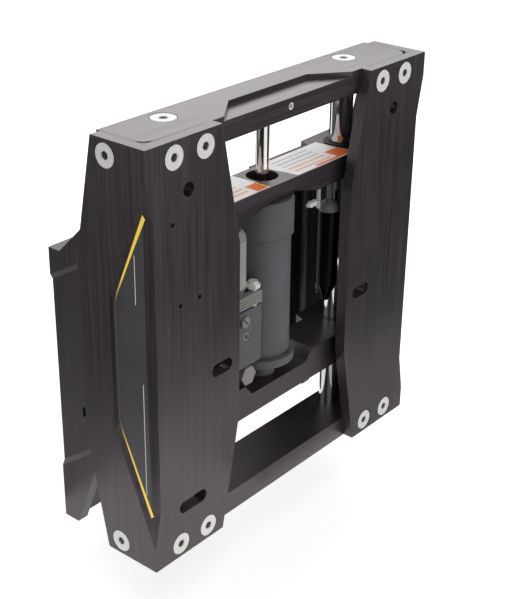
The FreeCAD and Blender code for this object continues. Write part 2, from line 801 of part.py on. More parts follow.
def countersunk_screw(name, head, length):
    """Make a countersunk screw with a hex socket, its face at height 0, pointing up."""
    top = -screw_sink
    rim, shank = head / 2, screw_shank / 2
    cone_top = top - screw_land
    profile = [(0, top), (rim, top), (rim, cone_top), (shank, cone_top - (rim - shank)),
               (shank, -length), (0, -length)]
    body = turned(name, profile)
    socket = new_sketch(body, name + "Socket", "XY_Plane", top)
    hexagon(socket, screw_socket)
    pocket(body, socket, screw_socket_depth)
    return body


def frame_screws():
    """Place the screws of the lifting frame, in groups of equal pieces."""
    plain = countersunk_screw("plain_screw_form", screw_head, screw_length)
    wide = countersunk_screw("rod_screw_form", rod_screw_head, screw_length + rod_seat)
    rows = (("top", frame_height - screw_from_top), ("bottom", screw_from_foot))
    for name, height in rows:
        places = [(x, 0, height, TO_MOTOR) for x in face_screw_xs()]
        copies("face_screws_" + name, plain, places)
        copies("side_screws_" + name, plain,
               [(-half_width, side_screw_y, height, TO_PORT),
                (half_width, side_screw_y, height, TO_STARBOARD)])
    copies("rod_screws_top", wide,
           [(rod_half * side, rod_y, frame_height, UP) for side in (-1, 1)])
    copies("rod_screws_bottom", wide,
           [(rod_half * side, rod_y, 0, DOWN) for side in (-1, 1)])
    return plain


def transom_bracket(label, side):
    """Make one angle bracket of the carriage, with its sunk outer panel."""
    body = new_body(label)
    outside = carriage_half * side
    inside = carriage_inside * side
    rise = upper_bar_top - carriage_shoulder
    ledge_y = setback - transom_ledge

    flank = new_sketch(body, label + "Flank", "YZ_Plane", outside)
    polygon(flank, [(setback, carriage_shoulder), (ledge_y, carriage_shoulder),
                    (ledge_y - rise, upper_bar_top), (carriage_front, upper_bar_top),
                    (carriage_front, lower_bar_foot), (lower_slant_y, lower_bar_foot),
                    (lower_slant_foot_y, carriage_foot), (setback, carriage_foot)])
    pad(body, flank, plate, backwards=side > 0)

    leg = new_sketch(body, label + "TransomLeg", "XZ_Plane", -setback)
    tip = (carriage_half - transom_leg_width) * side
    polygon(leg, [(outside, carriage_foot), (tip, carriage_foot), (tip, carriage_shoulder),
                  (outside, carriage_shoulder)])
    pad(body, leg, plate)

    corner = upright_edge(inside, setback - plate)
    round_edges(body, label + "Inner", bracket_fillet, corner)

    holes = new_sketch(body, label + "TransomHoles", "XZ_Plane", -setback)
    circle(holes, (mount_half * side, transom_hole_height), mount_hole)
    slot(holes, (transom_slot_half * side, transom_slot_height), slot_length, mount_hole)
    pocket(body, holes, plate + over, backwards=True)

    sunk_panel(body, label, side)

    wires = new_sketch(body, label + "WireSlot", "YZ_Plane", outside)
    slot(wires, (wire_slot_y, wire_slot_z), wire_slot_length, wire_slot_width, upright=True)
    pocket(body, wires, plate + over, backwards=side < 0)

    flank_holes = new_sketch(body, label + "BarScrews", "YZ_Plane", outside)
    shank = screw_shank + shank_clearance * 2
    for y, z in cross_bar_screw_spots():
        circle(flank_holes, (y, z), shank)
    countersink(body, flank_holes, shank, sink_rim, plate, backwards=side < 0)
    return keep(body, label)


def sunk_panel(body, label, side):
    """Sink the outer face between two bevels that rise towards the motor."""
    def outline(name, depth):
        shrink = panel_bevel / recess_depth * depth
        offset = (carriage_half - depth) * side
        sketch = new_sketch(body, label + name, "YZ_Plane", offset)
        front = panel_front + depth
        rear = setback + over

        def foot(y):
            return panel_foot + panel_foot_slope * (setback - y) + shrink

        def top(y):
            return panel_top + panel_top_slope * (setback - y) - shrink
        polygon(sketch, [(front, foot(front)), (rear, foot(rear)), (rear, top(rear)),
                         (front, top(front))])
        return sketch

    outer = -recess_depth / 3
    hollow_between(body, outline("SunkRim", outer), outline("SunkFloor", recess_depth))


def cross_bar_screw_spots():
    """List the depths and heights of the screws through a carriage flank."""
    heights = (upper_bar_top - cross_bar_end / 2, lower_bar_foot + lower_bar_end / 2)
    return [(y, z) for z in heights for y in (bar_screw_front_y, bar_screw_rear_y)]


def cross_bar(label, front_view, screw_height):
    """Make a cross bar of the carriage from its front view, with bush bores."""
    body = new_body(label)
    front = new_sketch(body, label + "Front", "XZ_Plane", -carriage_front)
    polygon(front, front_view)
    pad(body, front, cross_bar_end_y - carriage_front, backwards=True)

    rear = new_sketch(body, label + "Rear", "XY_Plane", front_view[0][1] - over)
    behind = cross_bar_end_y + over
    points = [(carriage_inside, cross_bar_end_y), (cross_bar_step + over, cross_bar_step_y),
              (cross_bar_step, cross_bar_rear)]
    left = [(-x, y) for x, y in points]
    polygon(rear, points + list(reversed(left)) +
            [(-carriage_inside, behind), (carriage_inside, behind)])
    pocket(body, rear, backwards=True)

    bores = new_sketch(body, label + "Bores", "XY_Plane", front_view[0][1] - over)
    for side in (-1, 1):
        circle(bores, (rod_half * side, rod_y), bush_diameter + seat_gap * 2)
    pocket(body, bores, backwards=True)

    depth = screw_length - plate + 1
    for side in (-1, 1):
        name = label + ("PortTaps" if side < 0 else "StarboardTaps")
        taps = new_sketch(body, name, "YZ_Plane", carriage_inside * side)
        for y in (bar_screw_front_y, bar_screw_rear_y):
            circle(taps, (y, screw_height), screw_shank + shank_clearance)
        pocket(body, taps, depth, backwards=side < 0)
    return body


def cross_bars():
    """Make both cross bars: the upper has the ram's passage, the lower carries the ram."""
    thin_foot = upper_bar_top - upper_bar_mid
    wide = carriage_inside
    view = [(-wide, upper_bar_end_foot), (-upper_relief_outer, upper_bar_end_foot),
            (-upper_relief_inner, thin_foot), (upper_relief_inner, thin_foot),
            (upper_relief_outer, upper_bar_end_foot), (wide, upper_bar_end_foot),
            (wide, upper_bar_top), (-wide, upper_bar_top)]
    bar = cross_bar("upper_cross_bar", view, upper_bar_top - cross_bar_end / 2)
    passage = new_sketch(bar, "RamPassage", "XY_Plane", upper_bar_end_foot)
    circle(passage, (0, ram_y), rod_passage)
    pocket(bar, passage, backwards=True)
    keep(bar, "upper_cross_bar")

    view = [(-wide, lower_bar_foot), (wide, lower_bar_foot), (wide, lower_bar_end_top),
            (lower_kink_outer, lower_bar_end_top), (lower_kink_inner, lower_bar_mid_top),
            (-lower_kink_inner, lower_bar_mid_top), (-lower_kink_outer, lower_bar_end_top),
            (-wide, lower_bar_end_top)]
    bar = cross_bar("lower_cross_bar", view, lower_bar_foot + lower_bar_end / 2)
    seat = new_sketch(bar, "RamBoltHole", "XY_Plane", lower_bar_foot)
    circle(seat, (0, ram_y), screw_shank + shank_clearance * 2)
    countersink(bar, seat, screw_shank + shank_clearance * 2, sink_rim, backwards=True)
    keep(bar, "lower_cross_bar")


def guides():
    """Line both cross bars with bushes, and wipe the rods above the upper one."""
    inner = rod_radius + fit_gap
    rows = (("upper", upper_bar_end_foot, upper_bar_top),
            ("lower", lower_bar_foot, lower_bar_end_top))
    for side, hand in ((-1, "left"), (1, "right")):
        for row, foot, top in rows:
            label = "guide_bush_%s_%s" % (row, hand)
            keep(ring(label, inner, bush_diameter / 2, foot, top, rod_half * side, rod_y), label)
        label = "rod_wiper_" + hand
        foot = upper_bar_top + seat_gap
        keep(ring(label, inner + seat_gap, wiper_diameter / 2, foot, foot + wiper_height,
                  rod_half * side, rod_y), label)


def carriage_screws(plain):
    """Place the screws that hold the cross bars between the carriage brackets."""
    spots = cross_bar_screw_spots()
    for name, row in (("upper", spots[:2]), ("lower", spots[2:])):
        places = [(-carriage_half, y, z, TO_PORT) for y, z in row]
        places += [(carriage_half, y, z, TO_STARBOARD) for y, z in row]
        copies("cross_bar_screws_" + name, plain, places)
    copies("ram_foot_screw", plain, [(0, ram_y, lower_bar_foot, DOWN)])


def barrel_radius(z):
    """Give the barrel's cast radius, which grows with height."""
    grow = (barrel_top_radius - barrel_foot_radius) / (head_foot - barrel_base_top)
    return barrel_foot_radius + (z - barrel_base_top) * grow


def hydraulic_cylinder():
    """Make the barrel on its round foot, and the head that closes it round the rod."""
    hole = (screw_shank + shank_clearance) / 2
    tap_top = barrel_floor - 5
    lug_foot = lower_bar_mid_top + seat_gap
    profile = [(hole, lug_foot), (foot_lug_radius, lug_foot), (foot_lug_radius, barrel_foot),
               (barrel_base_radius, barrel_foot), (barrel_base_radius, barrel_base_top),
               (barrel_neck_radius, barrel_base_top), (barrel_neck_radius, barrel_neck_top),
               (barrel_radius(barrel_neck_top), barrel_neck_top),
               (barrel_top_radius, head_foot - seat_gap), (spigot_radius, head_foot - seat_gap),
               (spigot_radius, barrel_top), (barrel_bore, barrel_top),
               (barrel_bore, barrel_floor), (0, barrel_floor), (0, tap_top), (hole, tap_top)]
    keep(turned("cylinder_barrel", profile, 0, ram_y), "cylinder_barrel")

    rod_hole = ram_rod / 2 + fit_gap
    profile = [(spigot_radius + seat_gap, head_foot), (head_radius - 1, head_foot),
               (head_radius, head_foot + 1), (head_radius, head_top - 2),
               (head_radius - 2, head_top), (wiper_pocket_radius, head_top),
               (wiper_pocket_radius, head_top - wiper_pocket),
               (rod_hole, head_top - wiper_pocket), (rod_hole, head_bore_top),
               (barrel_bore, head_bore_top), (barrel_bore, barrel_top + seat_gap),
               (spigot_radius + seat_gap, barrel_top + seat_gap)]
    keep(turned("cylinder_head", profile, 0, ram_y), "cylinder_head")
    foot = head_top - wiper_pocket + seat_gap
    keep(ring("ram_wiper", rod_hole + seat_gap, wiper_pocket_radius - seat_gap, foot,
              head_top + 1, 0, ram_y), "ram_wiper")


def valve_block():
    """Make the block beside the barrel, its ear, ports and sloping front step."""
    body = new_body("valve_block")
    plan = new_sketch(body, "BlockPlan", "XY_Plane", block_foot)
    polygon(plan, [(-block_left, block_front), (-block_right, block_front),
                   (-block_right, block_rear), (-block_left, block_rear)])
    pad(body, plan, block_top - block_foot)
    ear = new_sketch(body, "EarPlan", "XY_Plane", ear_foot)
    polygon(ear, [(-ear_left, ear_front), (-ear_right, ear_front), (-ear_right, block_rear),
                  (-ear_left, block_rear)])
    pad(body, ear, block_foot - ear_foot + over)

    step = new_sketch(body, "BlockStep", "YZ_Plane", -block_right + over)
    polygon(step, [(block_front - over, block_top - block_step),
                   (block_step_y - block_step, block_top - block_step),
                   (block_step_y, block_top), (block_step_y, block_top + over),
                   (block_front - over, block_top + over)])
    pocket(body, step)

    hollow = new_sketch(body, "BarrelHollow", "XZ_Plane", -ram_y)
    low, high = barrel_base_top, block_top + over
    foot_reach = barrel_base_radius + block_gap
    polygon(hollow, [(0, barrel_foot - over), (foot_reach, barrel_foot - over),
                     (foot_reach, low + block_gap), (barrel_radius(low) + block_gap, low + block_gap),
                     (barrel_radius(high) + block_gap, high), (0, high)])
    groove(body, hollow)

    ports = new_sketch(body, "FrontPorts", "XZ_Plane", -block_front)
    circle(ports, (-valve_x, valve_z), (valve_shank_radius + fit_gap) * 2)
    circle(ports, (-plug_x, plug_z), (plug_radius + seat_gap) * 2)
    pocket(body, ports, valve_shank + 1)

    tap = new_sketch(body, "EarTap", "XZ_Plane", -ear_front)
    circle(tap, (-ear_bolt_x, ear_bolt_z), ear_bolt_shank + shank_clearance)
    pocket(body, tap, screw_length - plate + 1)

    seat = new_sketch(body, "FittingSeat", "XY_Plane", block_top)
    circle(seat, (-fitting_x, fitting_y), (fitting_stem + seat_gap) * 2)
    pocket(body, seat, block_step + over)
    keep(body, "valve_block")


def block_fittings():
    """Make what screws into the block: release valve, plug, pressure fitting and bolt."""
    shank = valve_shank_radius
    profile = [(0, -valve_shank), (shank, -valve_shank), (shank, fit_gap),
               (valve_head_radius, fit_gap), (valve_head_radius, valve_head - 0.5),
               (valve_head_radius - 0.5, valve_head), (0, valve_head)]
    valve = turned("release_valve_screw", profile, -valve_x, block_front, valve_z, TO_MOTOR)
    cut = new_sketch(valve, "DriverSlot", "XY_Plane", valve_head)
    bar_across(cut, valve_head_radius + over, valve_slot / 2, -valve_turn)
    pocket(valve, cut, valve_head / 2)
    keep(valve, "release_valve_screw")

    profile = [(0, -plug_radius * 2), (plug_radius, -plug_radius * 2), (plug_radius, -0.5),
               (0, -0.5)]
    plug = turned("port_plug", profile, -plug_x, block_front, plug_z, TO_MOTOR)
    for name, angle in (("PlugSlot", -valve_turn), ("PlugCrossSlot", 90 - valve_turn)):
        cut = new_sketch(plug, name, "XY_Plane", -0.5)
        bar_across(cut, plug_radius * 0.7, valve_slot / 2, angle)
        pocket(plug, cut, plug_radius / 2)
    keep(plug, "port_plug")

    foot = block_top + seat_gap
    tip = foot - block_step - over
    hex_foot = foot + fitting_rise
    profile = [(0, tip), (fitting_stem, tip), (fitting_stem, hex_foot), (0, hex_foot)]
    fitting = turned("pressure_fitting", profile, -fitting_x, fitting_y)
    hexes = new_sketch(fitting, "FittingHex", "XY_Plane", hex_foot)
    hexagon(hexes, fitting_width)
    pad(fitting, hexes, fitting_hex)
    cap = new_sketch(fitting, "FittingCap", "XY_Plane", hex_foot + fitting_hex)
    circle(cap, (0, 0), fitting_width * 0.75)
    pad(fitting, cap, fitting_cap)
    keep(fitting, "pressure_fitting")

    keep(turned("block_washer",
                [((ear_bolt_shank + shank_clearance) / 2, seat_gap), (washer_radius, seat_gap),
                 (washer_radius, washer_height),
                 ((ear_bolt_shank + shank_clearance) / 2, washer_height)],
                -ear_bolt_x, ear_front, ear_bolt_z, TO_MOTOR), "block_washer")
    head_foot_z = washer_height + seat_gap
    reach = screw_length - plate
    profile = [(0, -reach), (ear_bolt_shank / 2, -reach), (ear_bolt_shank / 2, head_foot_z),
               (0, head_foot_z)]
    bolt = turned("block_bolt", profile, -ear_bolt_x, ear_front, ear_bolt_z, TO_MOTOR)
    head = new_sketch(bolt, "BoltHead", "XY_Plane", head_foot_z)
    hexagon(head, ear_bolt_width)
    pad(bolt, head, ear_bolt_head)
    keep(bolt, "block_bolt")


def pump():
    """Make the pump neck on the block, and the electric motor on it."""
    foot = block_top + seat_gap
    flange = foot + pump_flange_height
    profile = [(0, foot), (pump_radius, foot), (pump_radius, flange), (pump_neck_radius, flange),
               (pump_neck_radius, motor_foot - 3), (motor_radius, motor_foot - 3),
               (motor_radius, motor_foot), (0, motor_foot)]
    keep(turned("pump_body", profile, -pump_x, pump_y), "pump_body")
    profile = [(0, motor_foot + seat_gap), (motor_radius, motor_foot + seat_gap),
               (motor_radius, motor_cap_foot), (0, motor_cap_foot)]
    keep(turned("pump_motor", profile, -pump_x, pump_y), "pump_motor")
    foot = motor_cap_foot + seat_gap
    profile = [(0, foot), (motor_radius - 0.4, foot), (motor_radius - 0.4, foot + 3),
               (motor_radius - 5, motor_top - 2), (6, motor_top - 2), (6, motor_top),
               (0, motor_top)]
    keep(turned("motor_end_cap", profile, -pump_x, pump_y), "motor_end_cap")


def reservoir():
    """Hang the fluid can under the upper cross bar, with its elbow and tube."""
    profile = [(0, can_foot), (can_foot_radius, can_foot), (can_radius, can_taper_top),
               (can_radius, dome_foot - seat_gap), (0, dome_foot - seat_gap)]
    keep(turned("reservoir_can", profile, can_x, can_y), "reservoir_can")

    top = dome_foot + dome_height
    steps = [math.radians(15 * step) for step in range(5)]
    curve = [(can_radius * math.cos(a), dome_foot + dome_height * math.sin(a)) for a in steps]
    shoulder = dome_foot + dome_height * math.sin(math.radians(75))
    hanger = upper_bar_end_foot - seat_gap
    profile = [(0, dome_foot)] + curve + [(stud_radius * 1.6, shoulder), (stud_radius * 1.6, top),
                                          (stud_radius, top), (stud_radius, hanger), (0, hanger)]
    keep(turned("reservoir_dome", profile, can_x, can_y), "reservoir_dome")

    barb = elbow_radius
    neck = barb * 0.6
    start = tube_radius + seat_gap
    end = start + elbow_reach
    profile = [(0, start), (neck, start), (neck, start + 2), (barb, start + 4),
               (barb, start + 6), (neck, start + 8), (barb, start + 10), (barb, start + 12),
               (neck, end - 3), (neck, end), (0, end)]
    elbow = turned("transfer_elbow", profile, elbow_x, elbow_y, elbow_z, TO_PORT)
    keep(elbow, "transfer_elbow")
    top = hanger - elbow_z
    profile = [(0, -tube_tail), (tube_radius, -tube_tail), (tube_radius, top), (0, top)]
    keep(turned("transfer_tube", profile, elbow_x, elbow_y, elbow_z), "transfer_tube")


def write_nodes():
    """Check every object and node, then write one file a node."""
    DOC.recompute()
    for thing in DOC.Objects:
        if "Invalid" in thing.State or "Error" in thing.State:
            raise RuntimeError("%s did not build: %s" % (thing.Label, thing.State))
    for node in NODES:
        if node.Shape.isNull() or not node.Shape.isValid() or not node.Shape.Solids:
            raise RuntimeError("%s is not a sound solid" % node.Label)
    os.makedirs("parts", exist_ok=True)
    for node in NODES:
        node.Shape.exportStep("parts/%s.step" % node.Label)
        print(node.Label, len(node.Shape.Solids), round(node.Shape.Volume))


motor_bracket("motor_bracket_left", -1)
motor_bracket("motor_bracket_right", 1)
top_bar()
frame_bar("bottom_bar", as_dim(0), screw_from_foot, 1)
rods()
plain_screw = frame_screws()
transom_bracket("transom_bracket_left", -1)
transom_bracket("transom_bracket_right", 1)
cross_bars()
guides()
carriage_screws(plain_screw)
hydraulic_cylinder()
valve_block()
block_fittings()
pump()
reservoir()
write_nodes()
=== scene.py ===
"""Looks of the hydraulic jack plate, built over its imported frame.

Sizes in the classes are millimetres, counted from the lifting frame's motor face and foot,
as a fitter would measure them. The Datum class turns them into the row frame's metres.
"""
from __future__ import annotations

import json
import logging
import math
from dataclasses import dataclass, field
from enum import Enum

import bmesh
import bpy
from mathutils import Matrix, Vector

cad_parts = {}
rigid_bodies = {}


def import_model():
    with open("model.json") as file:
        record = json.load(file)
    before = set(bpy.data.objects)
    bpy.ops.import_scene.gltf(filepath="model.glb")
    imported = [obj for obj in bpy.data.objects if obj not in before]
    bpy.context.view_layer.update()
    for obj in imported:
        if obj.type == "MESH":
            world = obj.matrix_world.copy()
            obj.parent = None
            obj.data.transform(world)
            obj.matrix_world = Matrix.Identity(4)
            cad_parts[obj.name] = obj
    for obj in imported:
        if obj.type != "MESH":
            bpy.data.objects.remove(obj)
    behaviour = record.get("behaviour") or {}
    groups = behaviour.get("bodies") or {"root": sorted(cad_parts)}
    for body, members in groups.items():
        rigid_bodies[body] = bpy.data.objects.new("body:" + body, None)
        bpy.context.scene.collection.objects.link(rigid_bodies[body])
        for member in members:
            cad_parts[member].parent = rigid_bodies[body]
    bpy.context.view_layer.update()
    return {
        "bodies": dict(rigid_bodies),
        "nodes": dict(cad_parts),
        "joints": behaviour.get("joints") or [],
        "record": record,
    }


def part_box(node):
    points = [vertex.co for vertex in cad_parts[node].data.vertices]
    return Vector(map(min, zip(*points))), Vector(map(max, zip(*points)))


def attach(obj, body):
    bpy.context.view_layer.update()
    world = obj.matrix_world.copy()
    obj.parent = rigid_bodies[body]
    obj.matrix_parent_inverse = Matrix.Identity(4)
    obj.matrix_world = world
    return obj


LOG = logging.getLogger("jack_plate")
MM = 0.001


class Side(Enum):
    """Which side of the boat a piece is on; the value is the sign of X."""

    PORT = -1
    STARBOARD = 1


class Grain(Enum):
    """The axis that an extruded part was drawn along, as a Mapping scale that is fine across it."""

    ALONG_X = (0.012, 1.0, 1.0)
    ALONG_Z = (1.0, 1.0, 0.012)


def linear(hex_colour: str) -> tuple[float, float, float, float]:
    """Turn an sRGB hex colour into linear light.

    Args:
        hex_colour: six hex digits, such as "1c1b1d".

    Returns:
        Red, green, blue and an alpha of 1.
    """
    channels = [int(hex_colour[start:start + 2], 16) / 255 for start in (0, 2, 4)]
    curve = [c / 12.92 if c <= 0.04045 else ((c + 0.055) / 1.055) ** 2.4 for c in channels]
    return (curve[0], curve[1], curve[2], 1.0)


def add(tree: bpy.types.NodeTree, kind: str, settings: dict | None = None,
        links: dict | None = None) -> bpy.types.Node:
    """Add a node with its settings and links.

    Args:
        tree: the node tree that takes the node.
        kind: the node's type name.
        settings: properties by name, or input values by socket name or index.
        links: output sockets that feed the inputs, by socket name or index.

    Returns:
        The new node.
    """
    node = tree.nodes.new(kind)
    for key, value in (settings or {}).items():
        if isinstance(key, str) and hasattr(node, key):
            setattr(node, key, value)
        else:
            node.inputs[key].default_value = value
    for key, socket in (links or {}).items():
        tree.links.new(socket, node.inputs[key])
    return node


def blank_material(name: str) -> tuple[bpy.types.Material, bpy.types.NodeTree]:
    """Make a material with an empty node tree.

    Args:
        name: the material's name.

    Returns:
        The material and its tree.
    """
    material = bpy.data.materials.new(name)
    material.use_nodes = True
    material.node_tree.nodes.clear()
    return material, material.node_tree


def oblong(left: float, right: float, low: float, high: float) -> list[tuple[float, float]]:
    """List a rectangle's corners in order."""
    return [(left, low), (right, low), (right, high), (left, high)]


@dataclass(frozen=True)
class Finish:
    """A surface finish: its name, its colour, and how it scatters light."""

    name: str
    colour: str
    roughness: float

    def material(self) -> bpy.types.Material:
        """Build the finish as a new material.

        Returns:
            The material, with its output linked.
        """
        material, tree = blank_material(self.name)
        shader = add(tree, "ShaderNodeBsdfPrincipled")
        add(tree, "ShaderNodeOutputMaterial", links={"Surface": shader.outputs["BSDF"]})
        self.dress(tree, shader)
        return material

    def dress(self, tree: bpy.types.NodeTree, shader: bpy.types.Node) -> None:
        """Set the shader up; each finish adds what its surface shows."""
        shader.inputs["Base Color"].default_value = linear(self.colour)
        shader.inputs["Roughness"].default_value = self.roughness

    def coordinates(self, tree: bpy.types.NodeTree,
                    scale: tuple[float, float, float]) -> bpy.types.NodeSocket:
        """Give Object coordinates stretched by a scale.

        Args:
            tree: the material's tree.
            scale: the stretch along each axis.

        Returns:
            The vector socket.
        """
        source = add(tree, "ShaderNodeTexCoord")
        mapping = add(tree, "ShaderNodeMapping", {"Scale": scale},
                      {"Vector": source.outputs["Object"]})
        return mapping.outputs["Vector"]

    def mottle(self, tree: bpy.types.NodeTree, vector: bpy.types.NodeSocket, size_mm: float,
               detail: float = 3.0) -> bpy.types.NodeSocket:
        """Give noise whose blots are about a size in millimetres.

        Args:
            tree: the material's tree.
            vector: the coordinates it reads.
            size_mm: the blots' size.
            detail: how many finer layers it has.

        Returns:
            The noise's factor socket.
        """
        noise = add(tree, "ShaderNodeTexNoise",
                    {"Scale": 1 / (size_mm * MM), "Detail": detail}, {"Vector": vector})
        return noise.outputs[0]

    def spread(self, tree: bpy.types.NodeTree, value: bpy.types.NodeSocket, low: float,
               high: float) -> bpy.types.NodeSocket:
        """Map a noise's middle range onto two values.

        Args:
            tree: the material's tree.
            value: the noise.
            low: the value at its dark end.
            high: the value at its light end.

        Returns:
            The mapped socket.
        """
        mapped = add(tree, "ShaderNodeMapRange", {"From Min": 0.3, "From Max": 0.7,
                     "To Min": low, "To Max": high}, {"Value": value})
        return mapped.outputs["Result"]

    def tone(self, tree: bpy.types.NodeTree, shader: bpy.types.Node,
             noise: bpy.types.NodeSocket, darkest: float) -> None:
        """Feed the finish's colour to the shader, darkened here and there.

        Args:
            tree: the material's tree.
            shader: the shader that takes the colour.
            noise: where the colour is darker.
            darkest: what the darkest spots keep of the colour.
        """
        toned = add(tree, "ShaderNodeMix", {"data_type": "RGBA", "blend_type": "MULTIPLY",
                    "Factor": 1.0, "A": linear(self.colour)},
                    {"B": self.spread(tree, noise, darkest, 1.0)})
        tree.links.new(toned.outputs["Result"], shader.inputs["Base Color"])

    def roughen(self, tree: bpy.types.NodeTree, shader: bpy.types.Node,
                noise: bpy.types.NodeSocket, less: float, more: float) -> None:
        """Vary the roughness about the finish's own.

        Args:
            tree: the material's tree.
            shader: the shader that takes the roughness.
            noise: what the roughness follows.
            less: how far it falls below the finish's own.
            more: how far it rises above it.
        """
        rough = self.spread(tree, noise, self.roughness - less, self.roughness + more)
        tree.links.new(rough, shader.inputs["Roughness"])

    def bump(self, tree: bpy.types.NodeTree, shader: bpy.types.Node,
             height: bpy.types.NodeSocket, depth_mm: float, edge_mm: float) -> None:
        """Feed a bump, and a worn edge of a real radius, to the shader.

        Args:
            tree: the material's tree.
            shader: the shader that takes the normal.
            height: the bump's height.
            depth_mm: how deep the bump is.
            edge_mm: the edge radius.
        """
        edge = add(tree, "ShaderNodeBevel", {"samples": 4, "Radius": edge_mm * MM})
        node = add(tree, "ShaderNodeBump", {"Strength": 1.0, "Distance": depth_mm * MM},
                   {"Height": height, "Normal": edge.outputs["Normal"]})
        tree.links.new(node.outputs["Normal"], shader.inputs["Normal"])


@dataclass(frozen=True)
class AnodisedAluminium(Finish):
    """Extruded aluminium plate, brushed by its die and dyed black: satin, with a plum cast."""

    grain: Grain = Grain.ALONG_Z
    worn: str = "2a252a"
    film_dark: str = "e3d2da"
    film_light: str = "fff0f6"
    film_ior: float = 1.77  # aluminium oxide
    streak_mm: float = 1.6  # real die lines are finer; these are as coarse as the render shows
    cloud_mm: float = 60.0

    def dress(self, tree: bpy.types.NodeTree, shader: bpy.types.Node) -> None:
        """Draw die lines along the grain over broad, faint changes of dye.

        Args:
            tree: the material's tree.
            shader: its Principled shader.
        """
        lines = self.mottle(tree, self.coordinates(tree, self.grain.value), self.streak_mm)
        cloud = self.mottle(tree, self.coordinates(tree, (1, 1, 1)), self.cloud_mm, 2)
        both = add(tree, "ShaderNodeMath", {"operation": "MULTIPLY"},
                   {0: self.spread(tree, lines, 0.0, 1.0), 1: self.spread(tree, cloud, 0.4, 1.0)})
        colour = add(tree, "ShaderNodeMix", {"data_type": "RGBA", "A": linear(self.colour),
                     "B": linear(self.worn)}, {"Factor": both.outputs["Value"]})
        tree.links.new(colour.outputs["Result"], shader.inputs["Base Color"])
        self.roughen(tree, shader, lines, 0.04, 0.05)
        shader.inputs["IOR"].default_value = self.film_ior
        tint = add(tree, "ShaderNodeMix", {"data_type": "RGBA", "A": linear(self.film_dark),
                   "B": linear(self.film_light)}, {"Factor": self.spread(tree, lines, 0.0, 1.0)})
        tree.links.new(tint.outputs["Result"], shader.inputs["Specular Tint"])
        self.bump(tree, shader, lines, 0.01, 0.5)


@dataclass(frozen=True)
class GroundChrome(Finish):
    """Ground and hard-chromed rod: a mirror with a very fine turned lay."""

    lay_mm: float = 0.8  # the real lay is a few thousandths; this is as fine as the render shows

    def dress(self, tree: bpy.types.NodeTree, shader: bpy.types.Node) -> None:
        """Draw the grinding lay as rings along the rod, far finer than the rod is thick.

        Args:
            tree: the material's tree.
            shader: its Principled shader.
        """
        rings = self.mottle(tree, self.coordinates(tree, (0.05, 0.05, 1)), self.lay_mm)
        self.tone(tree, shader, rings, 0.92)
        self.roughen(tree, shader, rings, 0.014, 0.021)
        shader.inputs["Metallic"].default_value = 1.0


@dataclass(frozen=True)
class StainlessSteel(Finish):
    """Cold-headed and tumbled stainless: bright satin with small handling marks."""

    spot_mm: float = 2.2
    metal: float = 0.5  # half of it scatters, so a small head stays pale beside a dark reflection

    def dress(self, tree: bpy.types.NodeTree, shader: bpy.types.Node) -> None:
        """Vary the tone in spots a couple of millimetres wide, as tumbling does.

        Args:
            tree: the material's tree.
            shader: its Principled shader.
        """
        spots = self.mottle(tree, self.coordinates(tree, (1, 1, 1)), self.spot_mm)
        self.tone(tree, shader, spots, 0.84)
        self.roughen(tree, shader, spots, 0.07, 0.08)
        shader.inputs["Metallic"].default_value = self.metal
        self.bump(tree, shader, spots, 0.02, 0.25)


@dataclass(frozen=True)
class CoatedSurface(Finish):
    """Painted casting, moulded plastic or rubber: an even colour over a pebbled skin."""

    grain_mm: float = 1.2
    grain_depth_mm: float = 0.05
    sheen_level: float = 0.5
    patch: str = ""
    patch_mm: float = 25.0

    def dress(self, tree: bpy.types.NodeTree, shader: bpy.types.Node) -> None:
        """Raise the skin's pebbles, and let the colour drift over larger patches.

        Args:
            tree: the material's tree.
            shader: its Principled shader.
        """
        vector = self.coordinates(tree, (1, 1, 1))
        pebbles = self.mottle(tree, vector, self.grain_mm)
        drift = self.mottle(tree, vector, self.patch_mm, 2)
        colour = add(tree, "ShaderNodeMix", {"data_type": "RGBA", "A": linear(self.colour),
                     "B": linear(self.patch or self.colour)},
                     {"Factor": self.spread(tree, drift, 0.0, 1.0)})
        tree.links.new(colour.outputs["Result"], shader.inputs["Base Color"])
        self.roughen(tree, shader, pebbles, 0.05, 0.06)
        shader.inputs["Specular IOR Level"].default_value = self.sheen_level
        self.bump(tree, shader, pebbles, self.grain_depth_mm, 0.6)


@dataclass(frozen=True)
class FoilFilm(Finish):
    """Printed gold foil: bright at its two ends, browned out to bronze in the middle."""

    bronze: str = "6d5443"
    middle_mm: float = 224.7
    bright_from_mm: float = 66.0
    bright_to_mm: float = 92.0
    metal: float = 0.08  # the foil's lacquer hides nearly all of the metal's mirror

    def dress(self, tree: bpy.types.NodeTree, shader: bpy.types.Node) -> None:
        """Fade the colour by the distance from the middle of the stripe's height.

        Args:
            tree: the material's tree.
            shader: its Principled shader.
        """
        source = add(tree, "ShaderNodeTexCoord")
        parts = add(tree, "ShaderNodeSeparateXYZ", links={"Vector": source.outputs["Object"]})
        offset = add(tree, "ShaderNodeMath",
                     {"operation": "SUBTRACT", 1: DATUM.foot + self.middle_mm * MM},
                     {0: parts.outputs["Z"]})
        away = add(tree, "ShaderNodeMath", {"operation": "ABSOLUTE"},
                   {0: offset.outputs["Value"]})
        share = add(tree, "ShaderNodeMapRange",
                    {"From Min": self.bright_from_mm * MM, "From Max": self.bright_to_mm * MM},
                    {"Value": away.outputs["Value"]})
        colour = add(tree, "ShaderNodeMix", {"data_type": "RGBA", "A": linear(self.bronze),
                     "B": linear(self.colour)}, {"Factor": share.outputs["Result"]})
        tree.links.new(colour.outputs["Result"], shader.inputs["Base Color"])
        shader.inputs["Roughness"].default_value = self.roughness
        shader.inputs["Metallic"].default_value = self.metal


